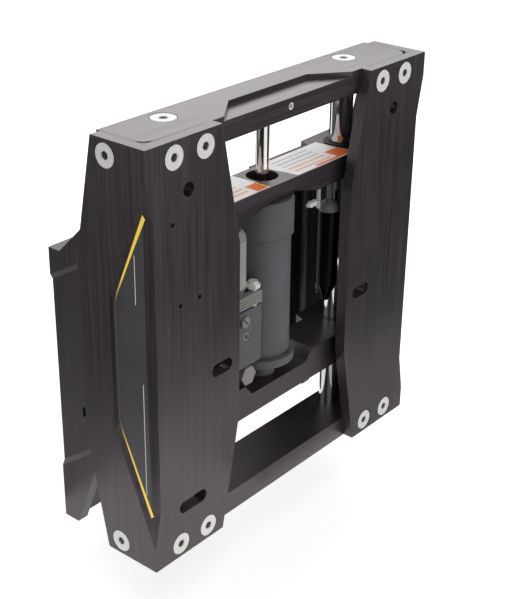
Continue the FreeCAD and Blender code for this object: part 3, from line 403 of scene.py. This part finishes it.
class Datum:
    """The lifting frame's motor face and foot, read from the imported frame."""

    def __init__(self) -> None:
        """Read the faces and the height from the port bracket's box."""
        low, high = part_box("motor_bracket_left")
        self.face = low.y
        self.foot = low.z
        self.height = high.z - low.z

    def at(self, x: float, y: float, z: float) -> Vector:
        """Turn millimetres from the datum faces into the row frame.

        Args:
            x: millimetres to starboard.
            y: millimetres behind the motor face.
            z: millimetres above the foot.

        Returns:
            The point, in metres.
        """
        return Vector((x * MM, self.face + y * MM, self.foot + z * MM))


DATUM: Datum


def placed(name: str, grown: bmesh.types.BMesh,
           materials: list[bpy.types.Material]) -> bpy.types.Object:
    """Turn a bmesh into an object at the origin.

    Args:
        name: the object's name.
        grown: the mesh in the row frame; it is freed.
        materials: the finishes, in the order of the faces' slots.

    Returns:
        The new object.
    """
    mesh = bpy.data.meshes.new(name)
    grown.to_mesh(mesh)
    grown.free()
    for material in materials:
        mesh.materials.append(material)
    piece = bpy.data.objects.new(name, mesh)
    bpy.context.scene.collection.objects.link(piece)
    return piece


def new_mesh(name: str, material: bpy.types.Material, grown: bmesh.types.BMesh) -> bpy.types.Object:
    """Turn a closed bmesh into a piece with outward faces.

    Args:
        name: the piece's name.
        material: its finish.
        grown: the mesh in the row frame; it is freed.

    Returns:
        The new piece.
    """
    bmesh.ops.recalc_face_normals(grown, faces=grown.faces)
    return placed(name, grown, [material])


def plate_from(name: str, material: bpy.types.Material, outline: list[Vector],
               thickness: Vector) -> bpy.types.Object:
    """Make a thin closed plate from a flat outline.

    Args:
        name: the piece's name.
        material: its finish.
        outline: the corners, in order, in the row frame.
        thickness: the step from one face to the other.

    Returns:
        The plate.
    """
    grown = bmesh.new()
    near = [grown.verts.new(point) for point in outline]
    far = [grown.verts.new(point + thickness) for point in outline]
    grown.faces.new(near)
    grown.faces.new(list(reversed(far)))
    for index in range(len(outline)):
        after = (index + 1) % len(outline)
        grown.faces.new((near[index], far[index], far[after], near[after]))
    return new_mesh(name, material, grown)


def joined(name: str, pieces: list[bpy.types.Object]) -> bpy.types.Object:
    """Join plain meshes into one new object, and remove them.

    Args:
        name: the name of the result.
        pieces: objects at the origin, with one material each.

    Returns:
        The joined object.
    """
    grown = bmesh.new()
    materials: list[bpy.types.Material] = []
    for piece in pieces:
        start = len(grown.faces)
        grown.from_mesh(piece.data)
        material = piece.data.materials[0]
        if material not in materials:
            materials.append(material)
        grown.faces.ensure_lookup_table()
        for face in grown.faces[start:]:
            face.material_index = materials.index(material)
    result = placed(name, grown, materials)
    for piece in pieces:
        bpy.data.objects.remove(piece)
    return result


@dataclass
class Finishes:
    """Every finish of the jack plate, built once."""

    # Extruded plate dyed black: a soft mirror with upright die lines and a plum cast.
    upright_plate: Finish = AnodisedAluminium("black_anodised_upright", "131113", 0.36)
    # The same stock laid flat, so that its die lines run level.
    level_bar: Finish = AnodisedAluminium("black_anodised_level", "141214", 0.36, Grain.ALONG_X)
    # Hard-chromed steel: a mirror that draws what it shows out along the rod.
    chrome: Finish = GroundChrome("hard_chrome", "d8d6d2", 0.07)
    # Tumbled stainless screws: nearly white, with no sharp highlight.
    stainless: Finish = StainlessSteel("tumbled_stainless", "dddcd9", 0.5)
    # Cast aluminium under dark grey paint: matt, with a sandy skin.
    casting: Finish = CoatedSurface("painted_casting", "464649", 0.55, 1.4, 0.06, 0.35, "4e4e52")
    # Turned bearing plastic: a dull black collar round each rod.
    bush: Finish = CoatedSurface("bearing_plastic", "161616", 0.5, 0.8, 0.02)
    # Moulded nitrile: the dullest of the blacks.
    rubber: Finish = CoatedSurface("nitrile_rubber", "0d0d0d", 0.6, 0.6, 0.02, 0.3)
    # Turned alloy: pale satin, out of sight in the barrel.
    piston: Finish = StainlessSteel("turned_alloy", "b9b9bb", 0.3)
    # Blacked steel with its coat rubbed thin: warm mid grey with duller spots.
    dark_steel: Finish = CoatedSurface("blackened_steel", "6a6764", 0.42, 0.7, 0.02, 0.5, "73706d")
    # Sprayed satin paint on the motor's drawn shell: smooth warm grey.
    shell: Finish = CoatedSurface("satin_grey_paint", "767370", 0.42, 0.9, 0.01, 0.5, "83807c")
    # Blow-moulded nylon: deep black with narrow highlights.
    can: Finish = CoatedSurface("gloss_moulded_nylon", "030303", 0.22, 1.5, 0.01, 0.06)
    # Moulded cap plastic: matt grey over the black can.
    dome: Finish = CoatedSurface("moulded_cap_plastic", "4e4e51", 0.5, 0.9, 0.02, 0.4)
    # The unlit gap round a screw head or along a joint: black, with no highlight.
    shadow_gap: Finish = CoatedSurface("shadow_gap", "0a0a0b", 0.7, 0.6, 0.01, 0.1)
    # Painted shade at the bottom of a hex socket: nearly black, where the deep socket lies in
    # shadow.
    socket: Finish = CoatedSurface("socket_floor_shade", "1d1c1b", 0.45, 0.6, 0.01, 0.4)
    # Extruded soft nylon: pale, with a waxy shine.
    tube: Finish = CoatedSurface("soft_nylon_tube", "a8a49c", 0.35, 1.0, 0.01, 0.5)
    # Hot-stamped foil: gold that turns to bronze along the stripe's middle.
    foil: Finish = FoilFilm("gold_foil", "ffd84a", 0.32)
    # Calendered vinyl: even charcoal with no metal in it.
    panel: Finish = CoatedSurface("vinyl_panel", "343437", 0.4, 0.5, 0.004, 0.45, "3a3a3d")
    # Screened silver ink: a plain pale line.
    silver_line: Finish = CoatedSurface("silver_ink", "dcdcdc", 0.4, 0.5, 0.002)
    # White polyester film and the flat, dull inks screened on it.
    label: Finish = CoatedSurface("white_label_film", "f1eeea", 0.5, 0.5, 0.003, 0.3, "eae7e6")
    label_grey: Finish = CoatedSurface("pale_label_ink", "c9c6c6", 0.5, 0.5, 0.002, 0.3, "d3cfd2")
    label_blue: Finish = CoatedSurface("blue_label_ink", "b4bfd2", 0.5, 0.5, 0.002, 0.3, "c3c6cf")
    label_peach: Finish = CoatedSurface("peach_label_ink", "eab08e", 0.5, 0.5, 0.002, 0.3, "e3bba4")
    label_orange: Finish = CoatedSurface("orange_label_ink", "f0742a", 0.55, 0.5, 0.002, 0.12)
    built: dict[str, bpy.types.Material] = field(default_factory=dict)

    def get(self, name: str) -> bpy.types.Material:
        """Give one finish's material, building it the first time.

        Args:
            name: the field's name.

        Returns:
            The material.
        """
        if name not in self.built:
            self.built[name] = getattr(self, name).material()
        return self.built[name]


@dataclass
class FrameDress:
    """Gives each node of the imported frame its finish."""

    finishes: Finishes
    by_slot: dict[str, str] = field(default_factory=lambda: {
        "black_anodised": "upright_plate", "hard_chrome": "chrome", "stainless": "stainless",
        "cast_grey": "casting", "bush_plastic": "bush", "seal_rubber": "rubber",
        "piston_alloy": "piston", "black_steel": "dark_steel", "motor_shell": "shell",
        "can_black": "can", "can_dome": "dome", "tube_clear": "tube"})

    def dress(self, frame: dict) -> None:
        """Assign the finishes.
        """
        for part in frame["record"]["subparts"]:
            node = frame["nodes"][part["node"]]
            name = self.by_slot[part["material_slot"]]
            if name == "upright_plate" and "bar" in part["node"]:
                name = "level_bar"
            node.data.materials.clear()
            node.data.materials.append(self.finishes.get(name))
            LOG.info("node %s wears %s", part["node"], name)


@dataclass
class SidePanel:
    """The printed film in the side leg's recess: panel, gold stripe and silver lines."""

    finishes: Finishes
    side: Side
    floor_x: float = 215.7
    film: float = 0.12
    corner_y: float = 7.9
    reach: float = 48.3
    tip: float = 26.4
    slope: float = 123.1 / 52.0
    wall_run: float = 15.9
    bend_drop: float = 9.0
    bend_y: float = 45.2
    lip: float = 1.0
    taper_run: float = 14.0
    waist_run: float = 4.0
    slant: tuple[float, float] = (0.75, 0.7)
    tip_width: float = 4.6
    waist_width: float = 1.1
    lines: tuple[tuple[float, ...], ...] = ((19.5, 20.3, 295, 345), (12.9, 13.7, 87, 213))

    def edge(self, y: float) -> float:
        """Give the height of the floor's lower sloping edge at a depth."""
        return self.tip + self.wall_run + self.slope * y

    def path(self) -> list[tuple[float, float, float]]:
        """List the stripe's outer edge, from its foot up to its head.

        Returns:
            The depth, the height and the stripe's width at each corner.
        """
        waist = self.waist_width
        wide_y = self.corner_y + self.taper_run
        height = DATUM.height / MM
        half = [(self.corner_y, self.edge(self.corner_y) + self.lip, self.tip_width),
                (wide_y, self.edge(wide_y) + self.lip, self.tip_width * 0.7),
                (self.bend_y, self.edge(self.bend_y) + self.lip, waist * 1.4),
                (self.reach, self.edge(self.bend_y) + self.bend_drop + self.waist_run, waist),
                (self.reach, height / 2, waist)]
        return half + [(y, height - z, width) for y, z, width in reversed(half[:-1])]

    def inset(self, spot: tuple[float, float, float]) -> tuple[float, float]:
        """Give the stripe's inner edge for one spot of its outer edge.

        Args:
            spot: depth, height and width.

        Returns:
            The inner edge's depth and height.
        """
        y, z, width = spot
        if y > self.bend_y:
            return y - width, z
        way = 1 if z < DATUM.height / MM / 2 else -1
        return y - width * self.slant[0], z + way * width * self.slant[1]

    def stripe(self, x: float, out: Vector) -> bpy.types.Object:
        """Make the gold stripe along the panel's edge.

        Args:
            x: where the recess's floor lies.
            out: the stripe's thickness, away from the floor.

        Returns:
            The stripe.
        """
        path = self.path()
        edge = [DATUM.at(x, y, z) for y, z, _ in path]
        inner = [DATUM.at(x, *self.inset(spot)) for spot in path]
        grown = bmesh.new()
        edge_in, edge_out, inner_in, inner_out = [
            [grown.verts.new(point + shift) for point in row]
            for row in (edge, inner) for shift in (Vector(), out)]
        for index in range(len(path) - 1):
            for one, two in ((edge_in, inner_in), (edge_out, inner_out), (edge_in, edge_out),
                             (inner_in, inner_out)):
                grown.faces.new((one[index], one[index + 1], two[index + 1], two[index]))
        for index in (0, len(path) - 1):
            grown.faces.new((edge_in[index], edge_out[index], inner_out[index],
                             inner_in[index]))
        return new_mesh("gold_stripe_" + self.side.name.lower(), self.finishes.get("foil"), grown)

    def build(self) -> list[bpy.types.Object]:
        """Build the films of one side.

        Returns:
            The panel film, the stripe and the silver lines.
        """
        x = self.floor_x * self.side.value
        out = Vector((self.film * MM * self.side.value, 0, 0))
        name = self.side.name.lower()
        stripe = self.stripe(x, out)
        ground = [DATUM.at(x, y, z) for y, z, _ in self.path()]
        film = plate_from("panel_film_" + name, self.finishes.get("panel"), ground, out * 0.4)
        lines = [plate_from("line", self.finishes.get("silver_line"),
                            [DATUM.at(x, y, z) for y, z in oblong(*line)], out)
                 for line in self.lines]
        silver = joined("silver_lines_" + name, lines)
        for piece in (film, stripe, silver):
            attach(piece, "lift_frame")
        return [film, stripe, silver]


@dataclass
class BarLabels:
    """Two blank label films on the upper cross bar, with plain fields of colour."""

    finishes: Finishes
    top: float = 354.5
    film: float = 0.15
    ink: float = 0.06
    first_bar: float = 29.0
    bar_pitch: float = 8.0
    bar: float = 3.5
    bars: tuple[str, ...] = ("label_peach", "label_peach", "label_grey", "label_blue", "label_grey")

    def field(self, finish: str, corners: list[tuple[float, float]],
              level: float) -> bpy.types.Object:
        """Make one flat field from its corners on the bar.

        Args:
            finish: which finish it has.
            corners: offsets and depths, in order.
            level: how far it stands above the bar, in millimetres.

        Returns:
            The field.
        """
        outline = [DATUM.at(x, y, self.top) for x, y in corners]
        return plate_from("field", self.finishes.get(finish), outline, Vector((0, 0, level * MM)))

    def build(self) -> list[bpy.types.Object]:
        """Build both labels.

        Returns:
            The port label and the starboard label.
        """
        film, ink = self.film, self.film + self.ink
        port = [self.field("label", [(-100, 21.5), (-20, 21.5), (-22, 72), (-100, 72)], film),
                self.field("label_orange", oblong(-38, -22, 22.5, 40), ink)]
        starboard = [self.field("label", [(25, 21.5), (124, 21.5), (119, 71), (16, 71)], film),
                     self.field("label_orange", [(99, 23.5), (122, 23.5), (121, 44), (99, 44)],
                                ink)]
        for index, colour in enumerate(self.bars):
            y = self.first_bar + index * self.bar_pitch
            port.append(self.field(colour, oblong(-92, -44, y, y + self.bar), ink))
            starboard.append(self.field(colour, oblong(32, 92, y, y + self.bar), ink))
        port.append(self.field("foil", oblong(-22, -20.5, 22.5, 40), ink))
        starboard.append(self.field("label_orange", oblong(60, 99, 22.6, 26.5), ink))
        labels = [joined("bar_label_port", port), joined("bar_label_starboard", starboard)]
        for label in labels:
            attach(label, "carriage")
        return labels


@dataclass
class PumpAdapter:
    """The ribbed adapter between the valve block and the pump, open round the pressure fitting."""

    finishes: Finishes
    low: tuple[float, float] = (-84.0, 21.4)
    high: tuple[float, float] = (-30.2, 29.5)
    plates: int = 4
    pitch: float = 3.4
    plate: float = 2.5
    core: float = 0.9
    clearance: float = 0.05

    def build(self) -> bpy.types.Object:
        """Stack the plates over a slightly smaller core.

        Returns:
            The adapter.
        """
        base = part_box("valve_block")[1].z + self.clearance * MM
        layers = [(self.core, base, self.plates * self.pitch)]
        layers += [(0.0, base + index * self.pitch * MM, self.plate)
                   for index in range(self.plates)]
        parts = []
        for inset, foot, height in layers:
            outline = oblong(self.low[0] + inset, self.high[0] - inset,
                             self.low[1] + inset, self.high[1])
            corners = [DATUM.at(x, y, 0) for x, y in outline]
            for corner in corners:
                corner.z = foot
            parts.append(plate_from("adapter_plate", self.finishes.get("dark_steel"), corners,
                                    Vector((0, 0, height * MM))))
        adapter = joined("pump_adapter", parts)
        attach(adapter, "carriage")
        return adapter


@dataclass
class RingSet:
    """Thin rings at given points, such as screw heads' rims, made by one Geometry Nodes tree."""

    finishes: Finishes
    segments: int = 40
    profile_sides: int = 6

    def tree(self) -> bpy.types.NodeTree:
        """Build the tree: a ring at each point, turned and sized by the point's attributes.

        Returns:
            The node group.
        """
        tree = bpy.data.node_groups.new("rings_at_points", "GeometryNodeTree")
        face = tree.interface
        face.new_socket("Points", in_out="INPUT", socket_type="NodeSocketGeometry")
        sizes = (("Wire Radius", 0.0004), ("Segments", self.segments),
                 ("Profile Sides", self.profile_sides))
        for name, value in sizes:
            kind = "NodeSocketInt" if isinstance(value, int) else "NodeSocketFloat"
            face.new_socket(name, in_out="INPUT", socket_type=kind).default_value = value
        face.new_socket("Finish", in_out="INPUT", socket_type="NodeSocketMaterial")
        face.new_socket("Rings", in_out="OUTPUT", socket_type="NodeSocketGeometry")
        given = add(tree, "NodeGroupInput")
        axis = add(tree, "GeometryNodeInputNamedAttribute", {"data_type": "FLOAT_VECTOR",
                                                             "Name": "ring_axis"})
        radius = add(tree, "GeometryNodeInputNamedAttribute", {"data_type": "FLOAT",
                                                               "Name": "ring_radius"})
        turn = add(tree, "FunctionNodeAlignRotationToVector", {"axis": "Z"},
                   {"Vector": axis.outputs["Attribute"]})
        points = add(tree, "GeometryNodeMeshToPoints", links={"Mesh": given.outputs["Points"]})
        circle = add(tree, "GeometryNodeCurvePrimitiveCircle", {"Radius": 1.0},
                     {"Resolution": given.outputs["Segments"]})
        placed = add(tree, "GeometryNodeInstanceOnPoints",
                     links={"Points": points.outputs["Points"],
                            "Instance": circle.outputs["Curve"],
                            "Rotation": turn.outputs["Rotation"],
                            "Scale": radius.outputs["Attribute"]})
        real = add(tree, "GeometryNodeRealizeInstances",
                   links={"Geometry": placed.outputs["Instances"]})
        profile = add(tree, "GeometryNodeCurvePrimitiveCircle",
                      links={"Resolution": given.outputs["Profile Sides"],
                             "Radius": given.outputs["Wire Radius"]})
        mesh = add(tree, "GeometryNodeCurveToMesh",
                   links={"Curve": real.outputs["Geometry"],
                          "Profile Curve": profile.outputs["Curve"]})
        smooth = add(tree, "GeometryNodeSetShadeSmooth", links={"Geometry": mesh.outputs["Mesh"]})
        again = add(tree, "GeometryNodeRealizeInstances",
                    links={"Geometry": smooth.outputs["Geometry"]})
        dressed = add(tree, "GeometryNodeSetMaterial",
                      links={"Geometry": again.outputs["Geometry"],
                             "Material": given.outputs["Finish"]})
        add(tree, "NodeGroupOutput", links={"Rings": dressed.outputs["Geometry"]})
        return tree

    def build(self, name: str, finish: str, wire_mm: float,
              spots: list[tuple[Vector, Vector, float]], body: str) -> bpy.types.Object:
        """Make rings on one body.

        Args:
            name: the piece's name.
            finish: which finish it has.
            wire_mm: the ring wire's radius.
            spots: centre, axis and radius in millimetres of each ring.
            body: the body that they ride on.

        Returns:
            The rings as one plain mesh.
        """
        mesh = bpy.data.meshes.new(name)
        mesh.from_pydata([spot[0] for spot in spots], [], [])
        mesh.attributes.new("ring_axis", "FLOAT_VECTOR", "POINT")
        mesh.attributes.new("ring_radius", "FLOAT", "POINT")
        for index, (_, direction, radius) in enumerate(spots):
            mesh.attributes["ring_axis"].data[index].vector = direction
            mesh.attributes["ring_radius"].data[index].value = radius * MM
        source = bpy.data.objects.new(name + "_points", mesh)
        bpy.context.scene.collection.objects.link(source)
        tree = bpy.data.node_groups.get("rings_at_points") or self.tree()
        modifier = source.modifiers.new("rings", "NODES")
        modifier.node_group = tree
        keys = {item.name: item.identifier for item in tree.interface.items_tree
                if item.in_out == "INPUT"}
        modifier[keys["Wire Radius"]] = wire_mm * MM
        modifier[keys["Segments"]] = self.segments
        modifier[keys["Profile Sides"]] = self.profile_sides
        modifier[keys["Finish"]] = self.finishes.get(finish)
        bpy.context.view_layer.update()
        graph = bpy.context.evaluated_depsgraph_get()
        result = bpy.data.meshes.new_from_object(source.evaluated_get(graph))
        bpy.data.objects.remove(source)
        piece = bpy.data.objects.new(name, result)
        bpy.context.scene.collection.objects.link(piece)
        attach(piece, body)
        return piece


@dataclass
class ScrewHeads:
    """What shows at the lifting frame's screw heads: socket rims, with painted shade in the edge
    gaps and at the socket floors.
    """

    rings: RingSet
    socket_rim: float = 5.1
    rim_wire: float = 0.28
    gap_wire: float = 0.25
    sink: float = 0.34
    face_xs: tuple[float, ...] = (-181.4, -139.9, 139.9, 181.4)
    heights: tuple[float, ...] = (15.2, 433.6)
    head_radius: float = 12.0
    rod_head_radius: float = 13.0
    socket_floor: float = 4.4
    socket_depth: float = 1.2
    floor_plate: float = 0.1
    side_x: float = 218.7
    side_y: float = 50.1
    rod_x: float = 140.1
    rod_y: float = 52.8

    def spots(self) -> list[tuple[Vector, Vector]]:
        """List the screw heads.

        Returns:
            Each head's centre, just under its face, and its outward axis.
        """
        found = []
        for z in self.heights:
            for x in self.face_xs:
                found.append((DATUM.at(x, self.sink, z), Vector((0, -1, 0))))
            for side in Side:
                x = (self.side_x - self.sink) * side.value
                found.append((DATUM.at(x, self.side_y, z), Vector((side.value, 0, 0))))
        top = DATUM.height / MM
        for side in Side:
            for z, way in ((self.sink, -1), (top - self.sink, 1)):
                found.append((DATUM.at(self.rod_x * side.value, self.rod_y, z),
                              Vector((0, 0, way))))
        return found

    def socket(self, centre: Vector, axis: Vector) -> bpy.types.Object:
        """Make the painted shade at the floor of one hex socket: a dark plate where its bottom lies
        in shadow.

        Args:
            centre: the head's centre.
            axis: its outward axis.

        Returns:
            The floor, a thin hexagonal plate.
        """
        turn = axis.to_track_quat("Z", "Y")
        corners = []
        for index in range(6):
            angle = math.radians(60 * index + 30)
            arm = Vector((math.cos(angle), math.sin(angle), 0)) * self.socket_floor * MM
            corners.append(centre - axis * self.socket_depth * MM + turn @ arm)
        return plate_from("socket", self.rings.finishes.get("socket"), corners,
                          axis * self.floor_plate * MM)

    def build(self) -> list[bpy.types.Object]:
        """Build the three sets.

        Returns:
            The rims, the painted shade rings of the edge gaps and the painted shade socket floors.
        """
        spots = self.spots()
        rims = self.rings.build("screw_socket_rims", "stainless", self.rim_wire,
                                [(at, axis, self.socket_rim) for at, axis in spots], "lift_frame")
        # The edge gaps are painted shade: dark rings where the gap round each head lies in shadow.
        gaps = self.rings.build("screw_edge_shade_rings", "shadow_gap", self.gap_wire,
                                [(at, axis, self.rod_head_radius if axis.z else self.head_radius)
                                 for at, axis in spots], "lift_frame")
        # The socket floors are painted shade: dark plates standing in for the shadow deep in each
        # socket.
        floors = joined("screw_socket_shade_floors", [self.socket(at, axis) for at, axis in spots])
        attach(floors, "lift_frame")
        return [rims, gaps, floors]


@dataclass
class SeamLines:
    """The dark joint lines where the level bars' ends meet the brackets' plates, on top."""

    finishes: Finishes
    plate: float = 12.7
    rear: float = 72.6
    outside: float = 206.0
    inside: float = 128.0
    width: float = 0.5
    rise: float = 0.015

    def build(self) -> bpy.types.Object:
        """Build the lines of both top corners.

        Returns:
            The lines.
        """
        top = DATUM.height / MM
        parts = []
        for side in Side:
            spans = [((self.outside, self.plate), (self.outside - self.width, self.rear)),
                     ((self.outside, self.plate), (self.inside, self.plate + self.width))]
            for (x_far, y_low), (x_near, y_high) in spans:
                outline = oblong(x_near * side.value, x_far * side.value, y_low, y_high)
                corners = [DATUM.at(x, y, top) for x, y in outline]
                parts.append(plate_from("seam", self.finishes.get("shadow_gap"), corners,
                                        Vector((0, 0, self.rise * MM))))
        seams = joined("top_seam_lines", parts)
        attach(seams, "lift_frame")
        return seams


@dataclass(frozen=True)
class Card:
    """A dark card for the finishes to reflect, in metres, with heights above the card level."""

    name: str
    shade: float
    corners: tuple[tuple[float, ...], ...]
    height: float = 0.004


CARDS = (
    Card("port_card", 0.1, ((-0.40, -0.2), (-0.85, -0.2), (-0.95, 0.25), (-1.3, 0.68), (-3.0, 2.5),
                            (-3.0, 3.0), (-0.37, 3.0), (-0.37, 0.25), (-0.40, 0.03))),
    Card("bow_card", 0.06, ((-0.12, -0.37), (0.2, -0.37), (0.3, -0.30), (4.0, -0.30), (4.0, -3.0),
                            (2.6, -3.0), (0.63, -1.16), (-0.05, -0.53))),
    Card("middle_card", 0.02, ((-0.35, -0.2), (-0.25, -0.45), (-1.22, -2.84), (-3.0, -3.0),
                               (-2.93, -0.72))),
    # The two aprons are painted shade: grey sheets, seen only in reflections, that stand in for the
    # floor's shade next to the feet.
    Card("bow_shade_apron", 0.55, ((-0.02, -0.30), (1.4, -0.30), (1.4, -0.155), (-0.02, -0.155))),
    Card("port_shade_apron", 0.45, ((-0.37, 0.02), (-0.37, 0.30), (-0.205, 0.16), (-0.205, 0.02))),
    Card("rear_card", 0.0, ((0.05, 0.84, 0.0), (0.85, -0.12, 0.0), (0.85, -0.12, 0.58),
                            (0.05, 0.84, 0.58))))


@dataclass
class Studio:
    """The camera at the photograph's view, the pale floor, the cards and the soft lamps."""

    azimuth: float = -50.32
    elevation: float = 26.12
    roll: float = 0.70
    distance: float = 1332.4
    target: tuple[float, float, float] = (-19.81, 40.0, 222.03)
    lens: float = 75.38
    floor_drop: float = 66.5  # the lifting frame sinks 65.5 mm, and the paper lies clear of it
    floor_reach: float = 6.0
    card_drop: float = 8.2  # just under the carriage's feet
    paper: float = 0.85
    paper_glow: float = 0.3
    room_light: float = 0.95
    aim: tuple[float, float, float] = (0.0, -0.08, -0.05)

    def camera(self) -> None:
        """Place the camera where the photograph's was."""
        az, el, roll = (math.radians(a) for a in (self.azimuth, self.elevation, self.roll))
        back = Vector((math.sin(az) * math.cos(el), -math.cos(az) * math.cos(el), math.sin(el)))
        right = Vector((math.cos(az), math.sin(az), 0))
        up = back.cross(right)
        across = math.cos(roll) * right + math.sin(roll) * up
        upward = -math.sin(roll) * right + math.cos(roll) * up
        place = DATUM.at(*self.target) + back * self.distance * MM
        data = bpy.data.cameras.new("photo_camera")
        data.lens = self.lens
        data.sensor_width = 36
        data.clip_end = 50
        camera = bpy.data.objects.new("photo_camera", data)
        bpy.context.scene.collection.objects.link(camera)
        turn = Matrix((across, upward, back)).transposed().to_4x4()
        camera.matrix_world = Matrix.Translation(place) @ turn
        bpy.context.scene.camera = camera

    def seen_white(self, tree: bpy.types.NodeTree) -> bpy.types.NodeSocket:
        """Tell the rays that see the backdrop from those that carry its light.

        Args:
            tree: the tree that takes the nodes.

        Returns:
            A socket that gives 1 to camera, glossy and transmission rays, and 0 to others.
        """
        path = add(tree, "ShaderNodeLightPath")
        gloss = add(tree, "ShaderNodeMath", {"operation": "MAXIMUM"},
                    {0: path.outputs["Is Camera Ray"], 1: path.outputs["Is Glossy Ray"]})
        both = add(tree, "ShaderNodeMath", {"operation": "MAXIMUM"},
                   {0: gloss.outputs["Value"], 1: path.outputs["Is Transmission Ray"]})
        return both.outputs["Value"]

    def world(self) -> None:
        """Light the scene softly from all round, against white."""
        world = bpy.data.worlds.new("studio")
        world.use_nodes = True
        bpy.context.scene.world = world
        tree = world.node_tree
        tree.nodes.clear()
        strength = add(tree, "ShaderNodeMapRange", {"To Min": self.room_light, "To Max": 1.0},
                       {"Value": self.seen_white(tree)})
        light = add(tree, "ShaderNodeBackground", {"Color": (1, 1, 1, 1)},
                    {"Strength": strength.outputs["Result"]})
        add(tree, "ShaderNodeOutputWorld", links={"Surface": light.outputs["Background"]})

    def floor(self) -> None:
        """Lay the pale floor just under the lowest point of the lifting frame's travel."""
        grown = bmesh.new()
        level = DATUM.foot - self.floor_drop * MM
        reach = self.floor_reach
        grown.faces.new([grown.verts.new((x, y, level))
                         for x, y in oblong(-reach, reach, -reach, reach)])
        material, tree = blank_material("studio_paper")
        paper = add(tree, "ShaderNodeBsdfDiffuse", {"Color": (self.paper,) * 3 + (1,)})
        glow = add(tree, "ShaderNodeMath", {"operation": "MULTIPLY", 1: self.paper_glow},
                   {0: self.seen_white(tree)})
        white = add(tree, "ShaderNodeEmission", {"Color": (1, 1, 1, 1)},
                    {"Strength": glow.outputs["Value"]})
        both = add(tree, "ShaderNodeAddShader",
                   links={0: paper.outputs["BSDF"], 1: white.outputs["Emission"]})
        add(tree, "ShaderNodeOutputMaterial", links={"Surface": both.outputs["Shader"]})
        placed("studio_floor", grown, [material])

    def lamp(self, name: str, place: tuple[float, float, float], size: tuple[float, float],
             power: float, mirrored: bool = True) -> None:
        """Hang one soft box.

        Args:
            name: the lamp's name.
            place: where it hangs, in metres.
            size: its width and height in metres.
            power: its power in watts.
            mirrored: whether the finishes show it as a highlight.
        """
        data = bpy.data.lights.new(name, "AREA")
        data.shape = "RECTANGLE"
        data.size, data.size_y = size
        data.energy = power
        lamp = bpy.data.objects.new(name, data)
        bpy.context.scene.collection.objects.link(lamp)
        away = Vector(place) - Vector(self.aim)
        lamp.matrix_world = (Matrix.Translation(Vector(place))
                             @ away.to_track_quat("Z", "Y").to_matrix().to_4x4())
        lamp.visible_camera = False
        lamp.visible_glossy = mirrored

    def card(self, card: Card) -> None:
        """Hang one card; only glossy rays meet it.

        Args:
            card: its outline, height and shade.
        """
        grown = bmesh.new()
        level = DATUM.foot - self.card_drop * MM
        corners = [corner if len(corner) == 3 else (*corner, card.height)
                   for corner in card.corners]
        grown.faces.new([grown.verts.new((x, y, level + rise)) for x, y, rise in corners])
        material, tree = blank_material(card.name)
        glow = add(tree, "ShaderNodeEmission", {"Color": (1, 1, 1, 1), "Strength": card.shade})
        add(tree, "ShaderNodeOutputMaterial", links={"Surface": glow.outputs["Emission"]})
        sheet = placed(card.name, grown, [material])
        sheet.visible_camera = False
        sheet.visible_diffuse = False
        sheet.visible_shadow = False
        sheet.visible_transmission = False

    def build(self) -> None:
        """Set the whole studio up."""
        self.camera()
        self.world()
        self.floor()
        for card in CARDS:
            self.card(card)
        self.lamp("cavity_lamp", (0.75, -1.15, 0.2), (0.5, 0.5), 7, mirrored=False)
        self.lamp("back_box", (1.25, 0.95, 0.55), (2.2, 0.9), 15)
        bpy.context.scene.view_settings.view_transform = "Standard"


def main() -> None:
    """Build every sub-assembly in order, and log each piece's count of faces."""
    global DATUM
    logging.basicConfig(level=logging.INFO, format="%(message)s")
    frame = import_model()
    DATUM = Datum()
    finishes = Finishes()
    FrameDress(finishes).dress(frame)
    pieces: list[bpy.types.Object] = []
    for side in Side:
        pieces += SidePanel(finishes, side).build()
    pieces += BarLabels(finishes).build()
    pieces.append(PumpAdapter(finishes).build())
    rings = RingSet(finishes)
    pieces += ScrewHeads(rings).build()
    pieces.append(SeamLines(finishes).build())
    Studio().build()
    for piece in pieces:
        LOG.info("piece %s has %d faces", piece.name, len(piece.data.polygons))


if __name__ == "__main__":
    main()
